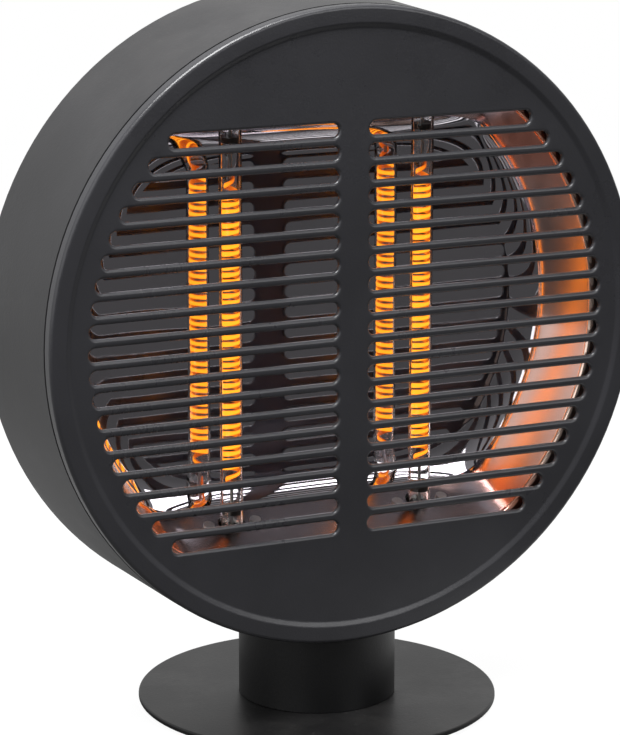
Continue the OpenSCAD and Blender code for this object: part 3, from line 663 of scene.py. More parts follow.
@dataclass(frozen=True)
class MirrorSheet(Finish):
    """Polished sheet: nearly a mirror, with slow waves, rolling lines and marks.

    Its round walls carry a painted reflection of the glow, straw in the middle and bronze at both ends, and
    its bottom wall is darkened with painted shade.
    The walls lie in front of the span of Y, the round ones beyond the span of X on both sides, and the
    bottom one and the bronze ends beyond their spans of Z.
    """

    # The faint purple in this colour is a painted tint of the reflections in the sheet.
    colour: Colour = (0.87, 0.83, 0.89)
    # painted reflection of the glow on the round walls: straw in the middle, bronze at both ends
    straw: Colour = (0.98, 0.76, 0.65)
    bronze: Colour = (1.0, 0.44, 0.30)
    # painted shade: the bottom wall's darker tone
    painted_bottom_shade: Colour = (0.50, 0.46, 0.48)
    dimmed: float = 0.9
    rough: float = 0.03
    drawn: float = 0.19
    marked: float = 0.06
    wall_y: Span = (-0.002, 0.003)
    round_x: Span = (0.088, 0.104)
    bottom_z: Span = (0.120, 0.136)
    bronze_low_z: Span = (0.108, 0.132)
    bronze_high_z: Span = (0.262, 0.305)
    wave: float = 0.00055
    line_share: float = 0.004

    def material(self) -> bpy.types.Material:
        """Builds the material: a tone and a roughness for the floor and for each wall, blended by place.

        Returns:
            The material.
        """
        mix = Mix(self.name, {"Metallic": 1.0, "IOR": 1.5})
        marks = mix.laid(self.effects.smudge, Scale=26.0, Cover=0.9)["Mask"]
        rolled = mix.laid(self.effects.rolling, Waves=16.0)
        place_ = mix.axes(mix.spot)
        wall = mix.spread(place_["Y"], self.wall_y, 1.0, 0.0)
        bottom = mix.times(wall, mix.spread(place_["Z"], self.bottom_z, 1.0, 0.0))
        rounded = mix.times(wall, mix.spread(mix.maths("ABSOLUTE", place_["X"]), self.round_x))
        # painted reflection of the glow: the bronze ends of the round walls
        painted_glow_ends = mix.greater(mix.spread(place_["Z"], self.bronze_high_z),
                             mix.spread(place_["Z"], self.bronze_low_z, 1.0, 0.0))
        polished = mix.blend(marks, rgba(self.colour), rgba(self.colour, self.dimmed))
        # painted shade on the bottom wall, painted reflection of the glow on the round walls
        plain = mix.blend(bottom, polished, rgba(self.painted_bottom_shade))
        mix.tone(mix.blend(rounded, plain, mix.blend(painted_glow_ends, rgba(self.straw), rgba(self.bronze))))
        formed = mix.spread(place_["Y"], self.wall_y, self.drawn, self.rough)
        mix.rough(mix.maths("ADD", formed, mix.times(marks, self.marked)))
        mix.bump(mix.maths("ADD", rolled["Wave"], mix.times(rolled["Height"], self.line_share)), self.wave)
        return mix.material


@dataclass(frozen=True)
class ZincPlate(Finish):
    """Zinc-plated steel with rolling lines, faint spangle and yellowed marks."""

    colour: Colour = (0.56, 0.57, 0.58)
    yellowed: Colour = (0.52, 0.50, 0.44)
    darkest: float = 0.88
    rough: float = 0.34
    marked: float = 0.14
    line: float = 0.00002

    def material(self) -> bpy.types.Material:
        """Builds the material: tone by the grey of coloured cells, rougher and yellower where marked.

        Returns:
            The material.
        """
        mix = Mix(self.name, {"Metallic": 1.0, "IOR": 1.5})
        marks = mix.laid(self.effects.smudge, Scale=40.0, Cover=0.8)["Mask"]
        rolled = mix.laid(self.effects.rolling, Lines=2200.0)["Height"]
        spangle = mix.add("ShaderNodeTexVoronoi", {"Vector": mix.spot, "Scale": 260.0}).outputs["Color"]
        grey = mix.add("ShaderNodeRGBToBW", {0: spangle}).outputs[0]
        plated = mix.blend(grey, rgba(self.colour, self.darkest), rgba(self.colour))
        mix.tone(mix.blend(marks, plated, rgba(self.yellowed)))
        mix.rough(mix.spread(marks, WHOLE, self.rough, self.rough + self.marked))
        mix.bump(rolled, self.line)
        return mix.material


@dataclass(frozen=True)
class CastCeramic(Finish):
    """Unglazed white ceramic with fine pores and a slightly sooty tone."""

    colour: Colour = (0.80, 0.77, 0.70)
    sooty: Colour = (0.62, 0.56, 0.47)
    pore: float = 0.00005

    def material(self) -> bpy.types.Material:
        """Builds the material: sooty where marked, with fine noise as pores.

        Returns:
            The material.
        """
        mix = Mix(self.name, {"Metallic": 0.0, "IOR": 1.5, "Roughness": 0.75})
        marks = mix.laid(self.effects.smudge, Scale=60.0, Cover=0.6)["Mask"]
        mix.tone(mix.blend(marks, rgba(self.colour), rgba(self.sooty)))
        mix.bump(mix.noise(mix.spot, 1800.0, 4.0, 0.7), self.pore)
        return mix.material


@dataclass(frozen=True)
class QuartzGlass(Finish):
    """Clear quartz with a few drawn streaks and faint haze."""

    colour: Colour = (0.97, 0.97, 0.97)
    haze: Span = (0.015, 0.06)
    streak: float = 0.00001

    def material(self) -> bpy.types.Material:
        """Builds the material: clear, rougher where marked, with drawn lines as height.

        Returns:
            The material.
        """
        mix = Mix(self.name, {"Metallic": 0.0, "IOR": 1.46, "Transmission Weight": 1.0,
                              "Base Color": rgba(self.colour)})
        marks = mix.laid(self.effects.smudge, Scale=70.0, Cover=0.5)["Mask"]
        drawn = mix.laid(self.effects.rolling, Lines=900.0)["Height"]
        mix.rough(mix.spread(marks, WHOLE, *self.haze))
        mix.bump(drawn, self.streak)
        return mix.material


@dataclass(frozen=True)
class GlowingRibbon(Finish):
    """Hot resistance ribbon: brightest on the outer middle, red along its edges and inside."""

    cold: Colour = (0.10, 0.06, 0.045)
    bright: Colour = (2.1, 0.66, 0.028)
    edge: Colour = (0.80, 0.14, 0.006)
    inside: Colour = (0.40, 0.052, 0.004)
    scale: float = 0.00003

    def material(self) -> bpy.types.Material:
        """Builds the material: the ribbon's own glow, made patchy, leads from inside over edge to bright.

        Returns:
            The material.
        """
        mix = Mix(self.name, {"Metallic": 0.6, "IOR": 1.5, "Roughness": 0.6,
                              "Base Color": rgba(self.cold), "Emission Strength": 1.0})
        glow = mix.add("ShaderNodeAttribute", attribute_name="glow").outputs["Fac"]
        patchy = mix.spread(mix.noise(mix.spot, 90.0, 3.0, 0.6), (0.25, 0.75), 0.86, 1.0)
        lively = mix.times(glow, patchy)
        low = mix.blend(mix.spread(lively, (0.0, 0.45)), rgba(self.inside), rgba(self.edge))
        hot = mix.blend(mix.spread(lively, (0.35, 0.85)), low, rgba(self.bright))
        mix.feed(mix.shader, "Emission Color", hot)
        mix.bump(mix.noise(mix.spot, 1500.0, 3.0, 0.6), self.scale)
        return mix.material


@dataclass(frozen=True)
class MouldedPlastic(Finish):
    """Moulded plastic with a fine spark-eroded grain."""

    colour: Colour = (0.018, 0.018, 0.019)
    rough: float = 0.38
    grain: float = 2400.0
    depth: float = 0.00002
    tones: Span = (0.85, 1.15)
    polish: float = 0.12

    def material(self) -> bpy.types.Material:
        """Builds the material: tone by mottle, grain as height, smoother where handled.

        Returns:
            The material.
        """
        mix = Mix(self.name, {"Metallic": 0.0, "IOR": 1.49})
        marks = mix.laid(self.effects.smudge, Scale=50.0, Cover=0.6)["Mask"]
        coat = mix.laid(self.effects.peel, Scale=self.grain)
        mix.tone(mix.blend(coat["Mottle"], *(rgba(self.colour, level) for level in self.tones)))
        mix.rough(mix.spread(marks, WHOLE, self.rough, self.rough - self.polish))
        mix.bump(coat["Height"], self.depth)
        return mix.material


@dataclass(frozen=True)
class MouldedRubber(Finish):
    """Soft black rubber with bloom and dust."""

    colour: Colour = (0.020, 0.020, 0.020)
    bloom: Colour = (0.055, 0.053, 0.050)
    depth: float = 0.00006

    def material(self) -> bpy.types.Material:
        """Builds the material: paler where marked, with fine noise as height.

        Returns:
            The material.
        """
        mix = Mix(self.name, {"Metallic": 0.0, "IOR": 1.5, "Roughness": 0.8})
        marks = mix.laid(self.effects.smudge, Scale=80.0, Cover=0.8)["Mask"]
        mix.tone(mix.blend(marks, rgba(self.colour), rgba(self.bloom)))
        mix.bump(mix.noise(mix.spot, 1300.0, 5.0, 0.7), self.depth)
        return mix.material


@dataclass(frozen=True)
class StampedBrass(Finish):
    """Stamped brass with a dull skin."""

    colour: Colour = (0.70, 0.52, 0.24)
    skin: Colour = (0.42, 0.28, 0.13)
    dulling: Span = (0.28, 0.5)
    line: float = 0.00001

    def material(self) -> bpy.types.Material:
        """Builds the material: browner and rougher where the skin lies, with rolling lines.

        Returns:
            The material.
        """
        mix = Mix(self.name, {"Metallic": 1.0, "IOR": 1.5})
        marks = mix.laid(self.effects.smudge, Scale=120.0, Cover=0.9)["Mask"]
        rolled = mix.laid(self.effects.rolling)["Height"]
        mix.tone(mix.blend(marks, rgba(self.colour), rgba(self.skin)))
        mix.rough(mix.spread(marks, WHOLE, *self.dulling))
        mix.bump(rolled, self.line)
        return mix.material


class Finishes:
    """Every material of the heater, built once."""

    def __init__(self) -> None:
        """Builds the shared effects and the materials."""
        effects = Effects()
        # One black powder coat in several copies: the front's is lighter and bluer, painted light; the
        # column's and the base's are far darker, painted shade.
        drum, front = (0.0212, 0.0210, 0.0226), (0.0325, 0.0325, 0.0365)
        column, base = (0.0025, 0.0025, 0.0029), (0.0036, 0.0036, 0.0040)
        brown = (0.035, 0.024, 0.018)
        self.drum_coat = SprayedCoat("drum_coat", effects, drum).material()
        # the front's backward-facing faces get painted back light, a pale bluish tone
        self.front_coat_painted_light = SprayedCoat("front_coat_painted_light", effects, front, 0.30, dust=0.02, painted_back_light=0.20).material()
        self.column_coat_painted_shade = SprayedCoat("column_coat_painted_shade", effects, column, dust=0.01).material()
        self.base_coat_painted_shade = SprayedCoat("base_coat_painted_shade", effects, base, 0.36, dust=0.09).material()
        self.mirror = MirrorSheet("mirror_sheet", effects).material()
        self.zinc = ZincPlate("zinc_plate", effects).material()
        self.ceramic = CastCeramic("cast_ceramic", effects).material()
        self.quartz = QuartzGlass("quartz_glass", effects).material()
        self.ribbon = GlowingRibbon("glowing_ribbon", effects).material()
        self.plastic = MouldedPlastic("moulded_plastic", effects).material()
        self.phenolic = MouldedPlastic("pressed_phenolic", effects, brown, 0.3, 1500.0).material()
        self.rubber = MouldedRubber("moulded_rubber", effects).material()
        self.brass = StampedBrass("stamped_brass", effects).material()


def dress(finish: bpy.types.Material, *nodes: str) -> None:
    """Gives CAD nodes their material.

    Args:
        finish: The material.
        nodes: The nodes' names.
    """
    for node in nodes:
        FRAME["nodes"][node].data.materials[0] = finish
        LOG.info("node %s: %s", node, finish.name)


def refine_all(finish: bpy.types.Material, slot: str, bevel: float = 0.0, **names: str) -> None:
    """Replaces CAD nodes by refined copies that share a finish.

    Args:
        finish: The material.
        slot: Passed on to refined.
        bevel: Width of the eased edges.
        names: Each node with its copy's name.
    """
    for node, name in names.items():
        refined(node, name, finish, slot, bevel)


# The heater's sub-assemblies


@dataclass
class HeadFrame:
    """Where the head is: its front plane, centre's height, growing radius and the place of its tubes."""

    front_y: float = -0.0465
    centre_z: float = 0.2156
    radius: float = 0.170
    draft: float = 0.0025
    draft_run: float = 0.0908
    tube_across: float = 0.056
    tube_depth: float = 0.0343

    def wall(self, y: Array) -> Array:
        """The drum's radius at places along Y."""
        return self.radius + self.draft * (y - self.front_y) / self.draft_run

    def at(self, across: Array, up: Array, depth: Array) -> Array:
        """Places head coordinates in the object's frame.

        Args:
            across: Distance to the right of the middle.
            up: Height above the head's centre.
            depth: Distance behind the front plane.

        Returns:
            Points, with a last axis of three.
        """
        across, up, depth = np.broadcast_arrays(across, up, depth)
        return np.stack([across, self.front_y + depth, self.centre_z + up], axis=-1)


@dataclass
class HeatingTube:
    """One quartz tube with its wound ribbon, pins, spacers and end caps."""

    side: Side
    head: HeadFrame
    glass_r: float = 0.006
    glass_wall: float = 0.0009
    glass_half: float = 0.130
    turns: int = 40
    pitch: float = 0.0037
    ribbon_r: float = 0.0043
    ribbon_w: float = 0.0026
    ribbon_t: float = 0.0008
    drop: float = 0.003
    tail: float = 0.009
    tail_r: float = 0.0016
    lean: float = 0.45
    outer: float = 0.35
    edge_fall: Span = (0.25, 0.65)
    inner_glow: Span = (0.50, 0.34)
    tail_fall: float = 0.55
    cap_bevel: float = 0.0004

    @property
    def centre(self) -> Array:
        """The middle of the tube's axis."""
        return self.head.at(self.side.value * self.head.tube_across, 0.0, self.head.tube_depth)

    def ribbon(self, steps: int = 40, corners: int = 14) -> Surface:
        """Ribbon: a flat rounded section carried along a helix that draws out into a tail at each end.

        At s turns the section's middle is at radius r(s) and height z(s), both straight in s between the
        tails. The section is |x / (t/2)|^4 + |y / (w/2)|^4 = 1, x outwards and y along the axis. With m = 1
        in front of and behind the axis and 0 beside it, the outside glows by 1 - (a + b m) |y / (w/2)|^3 and
        the inside by c - d m, and both fall along the tails.

        Args:
            steps: Rings in a turn.
            corners: Points round the section.

        Returns:
            The closed surface, with its glow at each point.
        """
        s = np.linspace(-1.0, self.turns + 1.0, (self.turns + 2) * steps + 1)[:, None]
        over = np.maximum(-s, 0.0) + np.maximum(s - self.turns, 0.0)
        wound = np.clip(s, 0.0, self.turns)
        height = self.pitch * (wound - self.turns / 2) + self.tail * (s - wound)
        radius = self.ribbon_r - (self.ribbon_r - self.tail_r) * over
        turn = np.linspace(0, 2 * np.pi, corners, endpoint=False)[None, :]
        out = np.sign(np.cos(turn)) * np.abs(np.cos(turn)) ** 0.5
        along = np.sign(np.sin(turn)) * np.abs(np.sin(turn)) ** 0.5
        reach = radius + 0.5 * self.ribbon_t * out
        angle = 2 * np.pi * s
        points = np.stack([reach * np.cos(angle), reach * np.sin(angle),
                           height + 0.5 * self.ribbon_w * along - self.drop], axis=-1)
        ahead = 0.5 + 0.5 * np.cos(2 * (angle + np.pi / 2 - self.lean))
        outside = 1.0 - (self.edge_fall[0] + self.edge_fall[1] * ahead) * np.abs(along) ** 3
        inside = self.inner_glow[0] - self.inner_glow[1] * ahead
        glow = np.where(out > self.outer, outside, inside) * (1.0 - self.tail_fall * np.clip(over, 0, 1))
        body = sheet(points + self.centre, wrap_columns=True)
        body.values["glow"] = glow.reshape(-1)
        last = len(points) * corners - corners
        ring = np.arange(corners)
        body.faces += [ring[None, ::-1], (last + ring)[None, :]]
        return body.facing_out()

    def glass(self, segments: int = 96, bends: int = 7) -> Surface:
        """Tube: a closed profile turned about the axis, its fire-polished ends half circles over the wall.

        Args:
            segments: Steps round the tube.
            bends: Points on each half circle.

        Returns:
            The closed surface.
        """
        edge = self.glass_wall / 2
        bend = np.linspace(0, np.pi, bends)
        middle, end = self.glass_r - edge, self.glass_half - edge
        top = np.stack([middle + edge * np.cos(bend), end + edge * np.sin(bend)], axis=-1)
        low = np.array([2 * middle, 0.0]) - top
        return turned(np.concatenate([top, low]), self.centre, segments).facing_out()

    def build(self, finishes: Finishes) -> None:
        """Makes and dresses the tube's pieces.

        Args:
            finishes: The heater's materials.
        """
        word = self.side.word
        place(self.ribbon(), f"ribbon_{word}", finishes.ribbon, Body.HEATER,
              (f"filament_{word}",), SHARP_WOUND)
        place(self.glass(), f"glass_{word}", finishes.quartz, Body.HEATER,
              (f"quartz_tube_{word}",), SHARP_WOUND)
        for end in ("top", "bottom"):
            refined(f"end_cap_{end}_{word}", f"cap_{end}_{word}", finishes.ceramic, "white_ceramic",
                    self.cap_bevel)
            dress(finishes.zinc, f"tube_holder_{end}_{word}")
        dress(finishes.zinc, f"lead_pins_{word}")
        dress(finishes.phenolic, f"lead_spacers_{word}")


@dataclass
class ReflectorPan:
    """Polished pan behind the tubes, with its rails, heat shield and fixings."""

    head: HeadFrame
    front: float = 0.0085
    back: float = 0.056
    thick: float = 0.0008
    rim_r: float = 0.153
    rim_z: float = 0.119
    crease_r: float = 0.1375
    crease_z: float = 0.101
    side_slope: float = math.radians(13.0)
    end_slope: float = math.atan(0.015 / 0.0415)
    side_flare: float = 0.0035
    end_flare: float = 0.001
    cove_w: float = 0.016
    cove_h: float = 0.006
    corner: float = 0.010
    floor_corner: float = 0.034
    hole_r: float = 0.0075
    hole_reach: float = 0.012
    screw_hole_r: float = 0.0017
    screw_reach: float = 0.004
    screw_across: float = 0.0135
    stud_r: float = 0.002
    stud_across: float = 0.090
    stud_up: float = 0.060
    stud_end: float = 0.0753
    stud_sunk: float = 0.0002
    stud_ease: float = 0.0004
    eye: float = -0.2

    @property
    def crease(self) -> float:
        """Depth of the crease between the walls and the cove."""
        return self.back - self.cove_h

    @property
    def bend(self) -> float:
        """Radius of the cove's arc, (w^2 + h^2) / 2h."""
        return (self.cove_w ** 2 + self.cove_h ** 2) / (2 * self.cove_h)

    def half_size(self, depth: Array, crease: float, slope: float, flare: float) -> Array:
        """Half width of the pan at a depth: a flared edge, a straight slope and an arc tangent to the floor.

        The wall is w = crease + (crease depth - depth) tan(slope). The flare is an arc tangent to it and to
        the rim.

        Args:
            depth: Depths behind the front plane.
            crease: Half width at the crease.
            slope: The wall's lean.
            flare: Radius of the flare.

        Returns:
            Half widths.
        """
        bend = self.bend
        wall = crease + (self.crease - depth) * math.tan(slope)
        cove = crease - self.cove_w + np.sqrt(np.maximum(bend ** 2 - (depth - self.back + bend) ** 2, 0.0))
        end = self.front + flare * (1 - math.sin(slope))
        middle = crease + (self.crease - end) * math.tan(slope) + flare * math.cos(slope)
        mouth = middle - np.sqrt(np.maximum(flare ** 2 - (self.front + flare - depth) ** 2, 0.0))
        return np.where(depth < end, mouth, np.where(depth <= self.crease, wall, cove))

    def outline(self, radius: Array, height: Array, ease: Array, columns: int) -> Array:
        """Closed outlines of a circle cut flat above and below, with eased corners, one for each depth.

        At angle a the distance from the middle is the lesser of the circle's radius R and the cut's
        H / |sin a|. Where the two differ by less than k, it is drawn in by (k - |difference|)^2 / 4k.

        Args:
            radius: The circle's radius at each depth.
            height: The cut's height at each depth.
            ease: The k of each depth.
            columns: Points round the outline.

        Returns:
            Points across and up: depths by columns by two.
        """
        angle = (np.arange(columns) + 0.5) * 2 * np.pi / columns
        cut = height[:, None] / np.abs(np.sin(angle))
        ease = ease[:, None]
        near = np.maximum(ease - np.abs(cut - radius[:, None]), 0.0)
        reach = np.minimum(cut, radius[:, None]) - near ** 2 / (4 * ease)
        return np.stack([reach * np.cos(angle), reach * np.sin(angle)], axis=-1)

    def shell(self, columns: int = 720, rows: tuple[int, int, int, int] = (10, 8, 20, 12)) -> Surface:
        """Inner face of the pan: the turned-out edge, the walls and the cove by depth, and the floor.

        Args:
            columns: Points round the pan.
            rows: Rings on the flare, the walls, the cove and the floor.

        Returns:
            The open surface.
        """
        flares, straights, coves, floors = rows
        bent = np.linspace(0, np.pi / 2, flares + 1)[:-1]
        lean = np.linspace(2 * math.atan(self.cove_h / self.cove_w), 0.0, coves + 1)[1:]
        depth = np.concatenate([self.front + self.side_flare * (1 - np.cos(bent)),
                                np.linspace(self.front + self.side_flare, self.crease, straights),
                                self.back - self.bend * (1 - np.cos(lean))])
        radius = self.half_size(depth, self.crease_r, self.side_slope, self.side_flare)
        height = self.half_size(depth, self.crease_z, self.end_slope, self.end_flare)
        down = np.clip((depth - self.crease) / self.cove_h, 0, 1)
        ease = self.corner + (self.floor_corner - self.corner) * down
        rim = self.outline(np.array([self.rim_r]), np.array([self.rim_z]), ease[:1], columns)
        walls = self.outline(radius, height, ease, columns)
        flat = walls[-1:] * np.linspace(1, 0, floors + 1)[1:, None, None]
        across_up = np.concatenate([rim, walls, flat])
        depths = np.concatenate([[self.front], depth, np.full(len(flat), self.back)])[:, None]
        return sheet(self.head.at(across_up[..., 0], across_up[..., 1], depths), wrap_columns=True)

    def cutters(self, corners: int = 48) -> Surface:
        """Bars that cut the tube holes and the holders' screw holes through the two end walls.

        A bar is a ring middle + r (cos a, sin a) across its axis, drawn out both ways along the axis.

        Args:
            corners: Points round a bar.

        Returns:
            The closed bars.
        """
        slope, depth = self.end_slope, self.head.tube_depth
        wall_z = self.crease_z + (self.crease - depth) * math.tan(slope)
        side = np.array([1.0, 0.0, 0.0])
        ring = np.arange(corners)
        turn = np.linspace(0, 2 * np.pi, corners, endpoint=False)[:, None]
        bars = []
        for x in (-self.head.tube_across, self.head.tube_across):
            for up in (-1, 1):
                out = np.array([0.0, math.sin(slope), up * math.cos(slope)])
                spots = [(x, self.hole_r, np.array([0.0, 0.0, float(up)]), self.hole_reach)]
                spots += [(x + away, self.screw_hole_r, out, self.screw_reach)
                          for away in (-self.screw_across, self.screw_across)]
                for across, radius, axis, reach in spots:
                    circle = radius * (np.cos(turn) * side + np.sin(turn) * np.cross(axis, side))
                    points = self.head.at(across, up * wall_z, depth) + circle
                    bar = sheet(np.stack([points - reach * axis, points + reach * axis]), wrap_columns=True)
                    bar.faces += [ring[None, ::-1], corners + ring[None, :]]
                    bars.append(bar.facing_out())
        return bars[0].joined(*bars[1:])

    def studs(self, segments: int = 32) -> Surface:
        """Four studs behind the floor: a closed profile turned about each stud's line.

        Args:
            segments: Steps round a stud.

        Returns:
            The closed studs.
        """
        turn = np.linspace(0, 2 * np.pi, segments, endpoint=False)
        start, end, r = self.back + self.thick - self.stud_sunk, self.stud_end, self.stud_r
        radius = np.array([0.0, r, r, r - self.stud_ease, 0.0])[:, None]
        depth = np.array([start, start, end - self.stud_ease, end, end])[:, None]
        studs = []
        for x in (-self.stud_across, self.stud_across):
            for z in (-self.stud_up, self.stud_up):
                points = self.head.at(x + radius * np.cos(turn), z + radius * np.sin(turn), depth)
                studs.append(sheet(points, wrap_columns=True).merged().facing_out())
        return studs[0].joined(*studs[1:])

    def build(self, finishes: Finishes) -> None:
        """Makes the pan with its wall and holes, and dresses the pieces that hold it.

        Args:
            finishes: The heater's materials.
        """
        in_front = self.head.at(0.0, 0.0, self.eye)
        pan = place(self.shell().merged().facing(in_front), "mirror_pan", finishes.mirror, Body.HEATER,
                    ("reflector_pan",), SHARP_CUT)
        wall = pan.modifiers.new("wall", "SOLIDIFY")
        wall.thickness = self.thick
        wall.offset = -1.0
        wall.use_even_offset = True
        bars = stand(self.cutters().mesh("hole_cutters"), "hole_cutters")
        holes = pan.modifiers.new("holes", "BOOLEAN")
        holes.operation = "DIFFERENCE"
        holes.solver = "EXACT"
        holes.object = bars
        settle(pan, SHARP_CUT)
        bpy.data.objects.remove(bars)
        place(self.studs(), "pan_studs", finishes.zinc, Body.HEATER)
        dress(finishes.zinc, "reflector_rails", "shield_spacers", "heat_shield", "shield_nuts",
              "holder_screws")


@dataclass
class Drum:
    """Rolled drum with its pressed slotted front, back cover, posts and screws."""

    def build(self, finishes: Finishes) -> None:
        """Makes and dresses the drum's pieces.

        Args:
            finishes: The heater's materials.
        """
        refine_all(finishes.front_coat_painted_light, "black_coat", front_grille="slotted_front")
        refine_all(finishes.drum_coat, "black_coat", drum_shell="rolled_drum", back_cover="vented_back")
        dress(finishes.zinc, "drum_saddle", "saddle_screws", "tie_posts", "tie_screws", "cover_screws")


@dataclass
class Column:
    """Round coped column with its welded plates."""

    head: HeadFrame
    radius: float = 0.0428
    wall: float = 0.0015
    low: float = 0.005
    gap: float = 0.0002
    ease: float = 0.0003

    def tube(self, segments: int = 192) -> Surface:
        """Column: five rings, of which the upper two follow the drum, z = centre - sqrt(R(y)^2 - x^2).

        Args:
            segments: Steps round the column.

        Returns:
            The closed surface.
        """
        angle = np.linspace(0, 2 * np.pi, segments, endpoint=False)
        inner = self.radius - self.wall
        rings = []
        for radius, lift in ((inner, 0.0), (self.radius - self.ease, 0.0), (self.radius, self.ease),
                             (self.radius, None), (inner, None)):
            x, y = radius * np.cos(angle), radius * np.sin(angle)
            cope = self.head.centre_z - np.sqrt((self.head.wall(y) + self.gap) ** 2 - x ** 2)
            height = cope if lift is None else np.full(segments, self.low + lift)
            rings.append(np.stack([x, y, height], axis=-1))
        return sheet(np.stack(rings), wrap_rows=True, wrap_columns=True).facing_out()

    def build(self, finishes: Finishes) -> None:
        """Makes and dresses the column's pieces.

        Args:
            finishes: The heater's materials.
        """
        place(self.tube(), "coped_column", finishes.column_coat_painted_shade, Body.HEATER,
              ("column_tube",), SHARP_CUT)
        dress(finishes.zinc, "column_foot", "column_head")


@dataclass
class Base:
    """Base disc with its pads, screws and tip-over switch."""

    pad_bevel: float = 0.0005
    housing_bevel: float = 0.0002
    plunger_bevel: float = 0.0003

    def build(self, finishes: Finishes) -> None:
        """Makes and dresses the base's pieces.

        Args:
            finishes: The heater's materials.
        """
        black = (finishes.plastic, "black_plastic")
        refine_all(finishes.base_coat_painted_shade, "black_coat", base_plate="base_disc")
        refine_all(finishes.rubber, "black_rubber", self.pad_bevel, foot_pads="rubber_pads")
        refine_all(*black, self.housing_bevel, tip_switch_body="tip_switch_housing")
        refined("tip_plunger", "tip_plunger_pin", *black, self.plunger_bevel, Body.PLUNGER)
        dress(finishes.zinc, "base_screws", "tip_switch_screws", "tip_spring")


@dataclass
class Controls:
    """Rocker switches, cable gland, terminal block and thermal cut-out at the back."""

    bevel: float = 0.0003
    inner_bevel: float = 0.0002

    def build(self, finishes: Finishes) -> None:
        """Makes and dresses the controls.

        Args:
            finishes: The heater's materials.
        """
        black = (finishes.plastic, "black_plastic", self.bevel)
        for side, body in ((Side.LEFT, Body.LEFT_ROCKER), (Side.RIGHT, Body.RIGHT_ROCKER)):
            refined(f"switch_frame_{side.word}", f"switch_bezel_{side.word}", *black)
            refined(f"rocker_{side.word}", f"switch_rocker_{side.word}", *black, body)
        refine_all(*black, cable_gland="gland_body", gland_cap="gland_dome", gland_locknut="gland_nut")
        refine_all(finishes.rubber, "black_rubber", self.bevel, gland_seal="gland_bush")
        refine_all(finishes.ceramic, "white_ceramic", self.inner_bevel, terminal_block="wire_block")
        refine_all(finishes.phenolic, "black_plastic", self.inner_bevel, thermal_cutout="cutout_disc")
        dress(finishes.brass, "switch_tabs")


# Studio

WHITE: Colour = (1.0, 1.0, 1.0)


@dataclass(frozen=True)
class Lamp:
    """Soft square lamp: its name, place, length of side and power in watts."""

    name: str
    at: tuple[float, float, float]
    size: float
    power: float

    def hang(self, target: Sequence[float]) -> None:
        """Hangs the lamp so that it points at a target.

        Args:
            target: The point that it lights.
        """
        data = bpy.data.lights.new(self.name, "AREA")
        data.shape = "SQUARE"
        data.size = self.size
        data.energy = self.power
        towards = Vector(target) - Vector(self.at)
        turn = towards.to_track_quat("-Z", "Y").to_matrix().to_4x4()
        stand(data, self.name).matrix_world = Matrix.Translation(self.at) @ turn


LAMPS = (Lamp("lamp_above", (-0.28, -0.30, 1.25), 0.55, 19.0),
         Lamp("lamp_left", (-1.6, -0.75, 0.85), 1.7, 10.0),
         Lamp("lamp_right", (0.88, -1.62, 1.10), 1.0, 8.4))


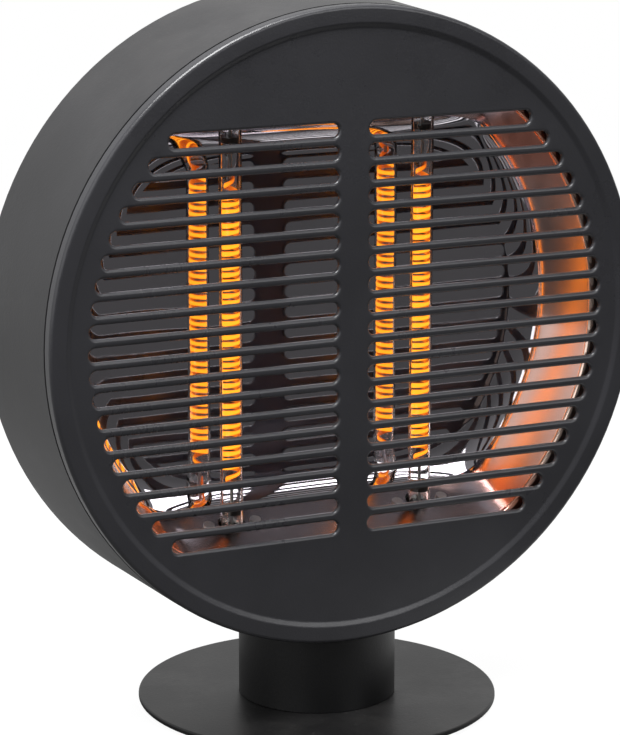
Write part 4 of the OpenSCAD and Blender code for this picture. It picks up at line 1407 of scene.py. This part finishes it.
@dataclass
class Studio:
    """Floor, daylight tent, lamps and the camera of the photograph's angle."""

    azimuth: float = 26.18
    elevation: float = 12.42
    roll: float = 0.27
    distance: float = 1.5953
    lens: float = 149.6
    film: float = 36.0
    target: tuple[float, float, float] = (0.0, -0.0465, 0.2156)
    aim_right: float = -0.01494
    aim_up: float = -0.01203
    ahead_y: Span = (-0.45, 0.30)
    ahead: Span = (0.0, 0.62)
    above_z: Span = (-0.05, 0.75)
    above: Span = (0.060, 0.25)
    overhead_z: Span = (0.80, 0.95)
    overhead: Span = (0.0, 2.4)
    brightest: float = 4.0
    behind_y: Span = (0.0, 0.30)
    floor_y: float = 0.55
    floor_radii: tuple[float, ...] = (0.0, 0.2, 0.5, 0.8)
    floor_paint: Colour = (0.09, 0.09, 0.09)
    floor_seen: float = 0.95
    right_x: Span = (0.04, 0.18)
    right_level: Span = (0.05, 0.70)
    back_y: Span = (0.0, 0.30)
    back_level: Span = (0.05, 0.40)

    def camera(self) -> None:
        """Sets the camera on the fitted direction, aimed a little beside the front ring's centre."""
        az, el, roll = (math.radians(a) for a in (self.azimuth, self.elevation, self.roll))
        back = Vector((-math.sin(az) * math.cos(el), -math.cos(az) * math.cos(el), math.sin(el)))
        right = Vector((math.cos(az), -math.sin(az), 0.0))
        up = Vector((math.sin(az) * math.sin(el), math.cos(az) * math.sin(el), math.cos(el)))
        right, up = (math.cos(roll) * right + math.sin(roll) * up,
                     math.cos(roll) * up - math.sin(roll) * right)
        look = (-back + self.aim_right * right + self.aim_up * up).normalized()
        side = look.cross(up).normalized()
        axes = Matrix((side, side.cross(look), -look)).transposed()
        data = bpy.data.cameras.new("camera")
        data.sensor_fit = "VERTICAL"
        data.sensor_height = self.film
        data.lens = self.lens
        camera = stand(data, "camera")
        camera.matrix_world = Matrix.Translation(Vector(self.target) + self.distance * back) @ axes.to_4x4()
        bpy.context.scene.camera = camera

    def tent(self) -> None:
        """White tent that is dark low in front; the camera sees plain white behind the object.

        Its level is the greatest of a rise to the back, a rise upwards and a bright patch overhead.
        """
        world = bpy.data.worlds.new("tent")
        bpy.context.scene.world = world
        world.use_nodes = True
        world.node_tree.nodes.clear()
        graph = Graph(world.node_tree)
        axes = graph.axes(graph.add("ShaderNodeTexCoord").outputs["Generated"])
        ahead = graph.spread(axes["Y"], self.ahead_y, *self.ahead)
        above = graph.spread(axes["Z"], self.above_z, *self.above)
        overhead = graph.spread(axes["Z"], self.overhead_z, *self.overhead)
        level = graph.times(graph.greater(graph.greater(ahead, above), overhead), 1 / self.brightest)
        tone = graph.blend(level, rgba(WHITE, 0.0), rgba(WHITE, self.brightest))
        path = graph.add("ShaderNodeLightPath").outputs
        behind = graph.times(path["Is Transmission Ray"], graph.spread(axes["Y"], self.behind_y))
        seen = graph.greater(path["Is Camera Ray"], behind)
        colour = graph.blend(seen, tone, rgba(WHITE))
        light = graph.add("ShaderNodeBackground", {"Color": colour, "Strength": 1.0})
        graph.add("ShaderNodeOutputWorld", {"Surface": light.outputs[0]})

    def floor(self, segments: int = 96) -> None:
        """Pale round floor that looks white to the camera and in metal, and still takes the shadow.

        In metal and glass it is brighter to the right and to the back, as the photograph's reflections are.

        Args:
            segments: Steps round the floor.
        """
        turn = np.linspace(0, 2 * np.pi, segments, endpoint=False)
        radii = np.array(self.floor_radii)[:, None]
        x, y = radii * np.cos(turn), self.floor_y + radii * np.sin(turn)
        points = np.stack([x, y, np.zeros_like(x)], axis=-1)
        mesh = sheet(points, wrap_columns=True).merged().facing((0.0, self.floor_y, 1.0)).mesh("floor")
        material = bpy.data.materials.new("pale_floor")
        material.use_nodes = True
        material.node_tree.nodes.clear()
        graph = Graph(material.node_tree)
        paint = graph.add("ShaderNodeBsdfDiffuse", {"Color": rgba(self.floor_paint)})
        path = graph.add("ShaderNodeLightPath").outputs
        mirrored = graph.greater(path["Is Glossy Ray"], path["Is Transmission Ray"])
        spot = graph.axes(graph.add("ShaderNodeTexCoord").outputs["Object"])
        bright = graph.greater(graph.spread(spot["X"], self.right_x, *self.right_level),
                               graph.spread(spot["Y"], self.back_y, *self.back_level))
        seen = graph.greater(graph.times(path["Is Camera Ray"], self.floor_seen),
                             graph.times(mirrored, bright))
        shine = graph.add("ShaderNodeEmission", {"Color": rgba(WHITE), "Strength": seen})
        both = graph.add("ShaderNodeAddShader", {0: paint.outputs[0], 1: shine.outputs[0]})
        graph.add("ShaderNodeOutputMaterial", {"Surface": both.outputs[0]})
        mesh.materials.append(material)
        stand(mesh, "floor")

    def build(self) -> None:
        """Sets up everything around the object."""
        bpy.context.scene.view_settings.view_transform = "Standard"
        self.camera()
        self.tent()
        self.floor()
        for lamp in LAMPS:
            lamp.hang(self.target)


def corners(bounds: Sequence[Sequence[float]]) -> list[list[float]]:
    """Turns a box's corners into plain lists of numbers."""
    return [[float(v) for v in corner] for corner in bounds]


def main() -> None:
    """Builds the studio and the heater's sub-assemblies in order."""
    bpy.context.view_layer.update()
    Studio().build()
    finishes = Finishes()
    head = HeadFrame()
    Base().build(finishes)
    Column(head).build(finishes)
    Drum().build(finishes)
    ReflectorPan(head).build(finishes)
    for side in Side:
        HeatingTube(side, head).build(finishes)
    Controls().build(finishes)


if __name__ == "__main__":
    logging.basicConfig(level=logging.INFO, format="%(name)s: %(message)s")
    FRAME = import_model()
    main()
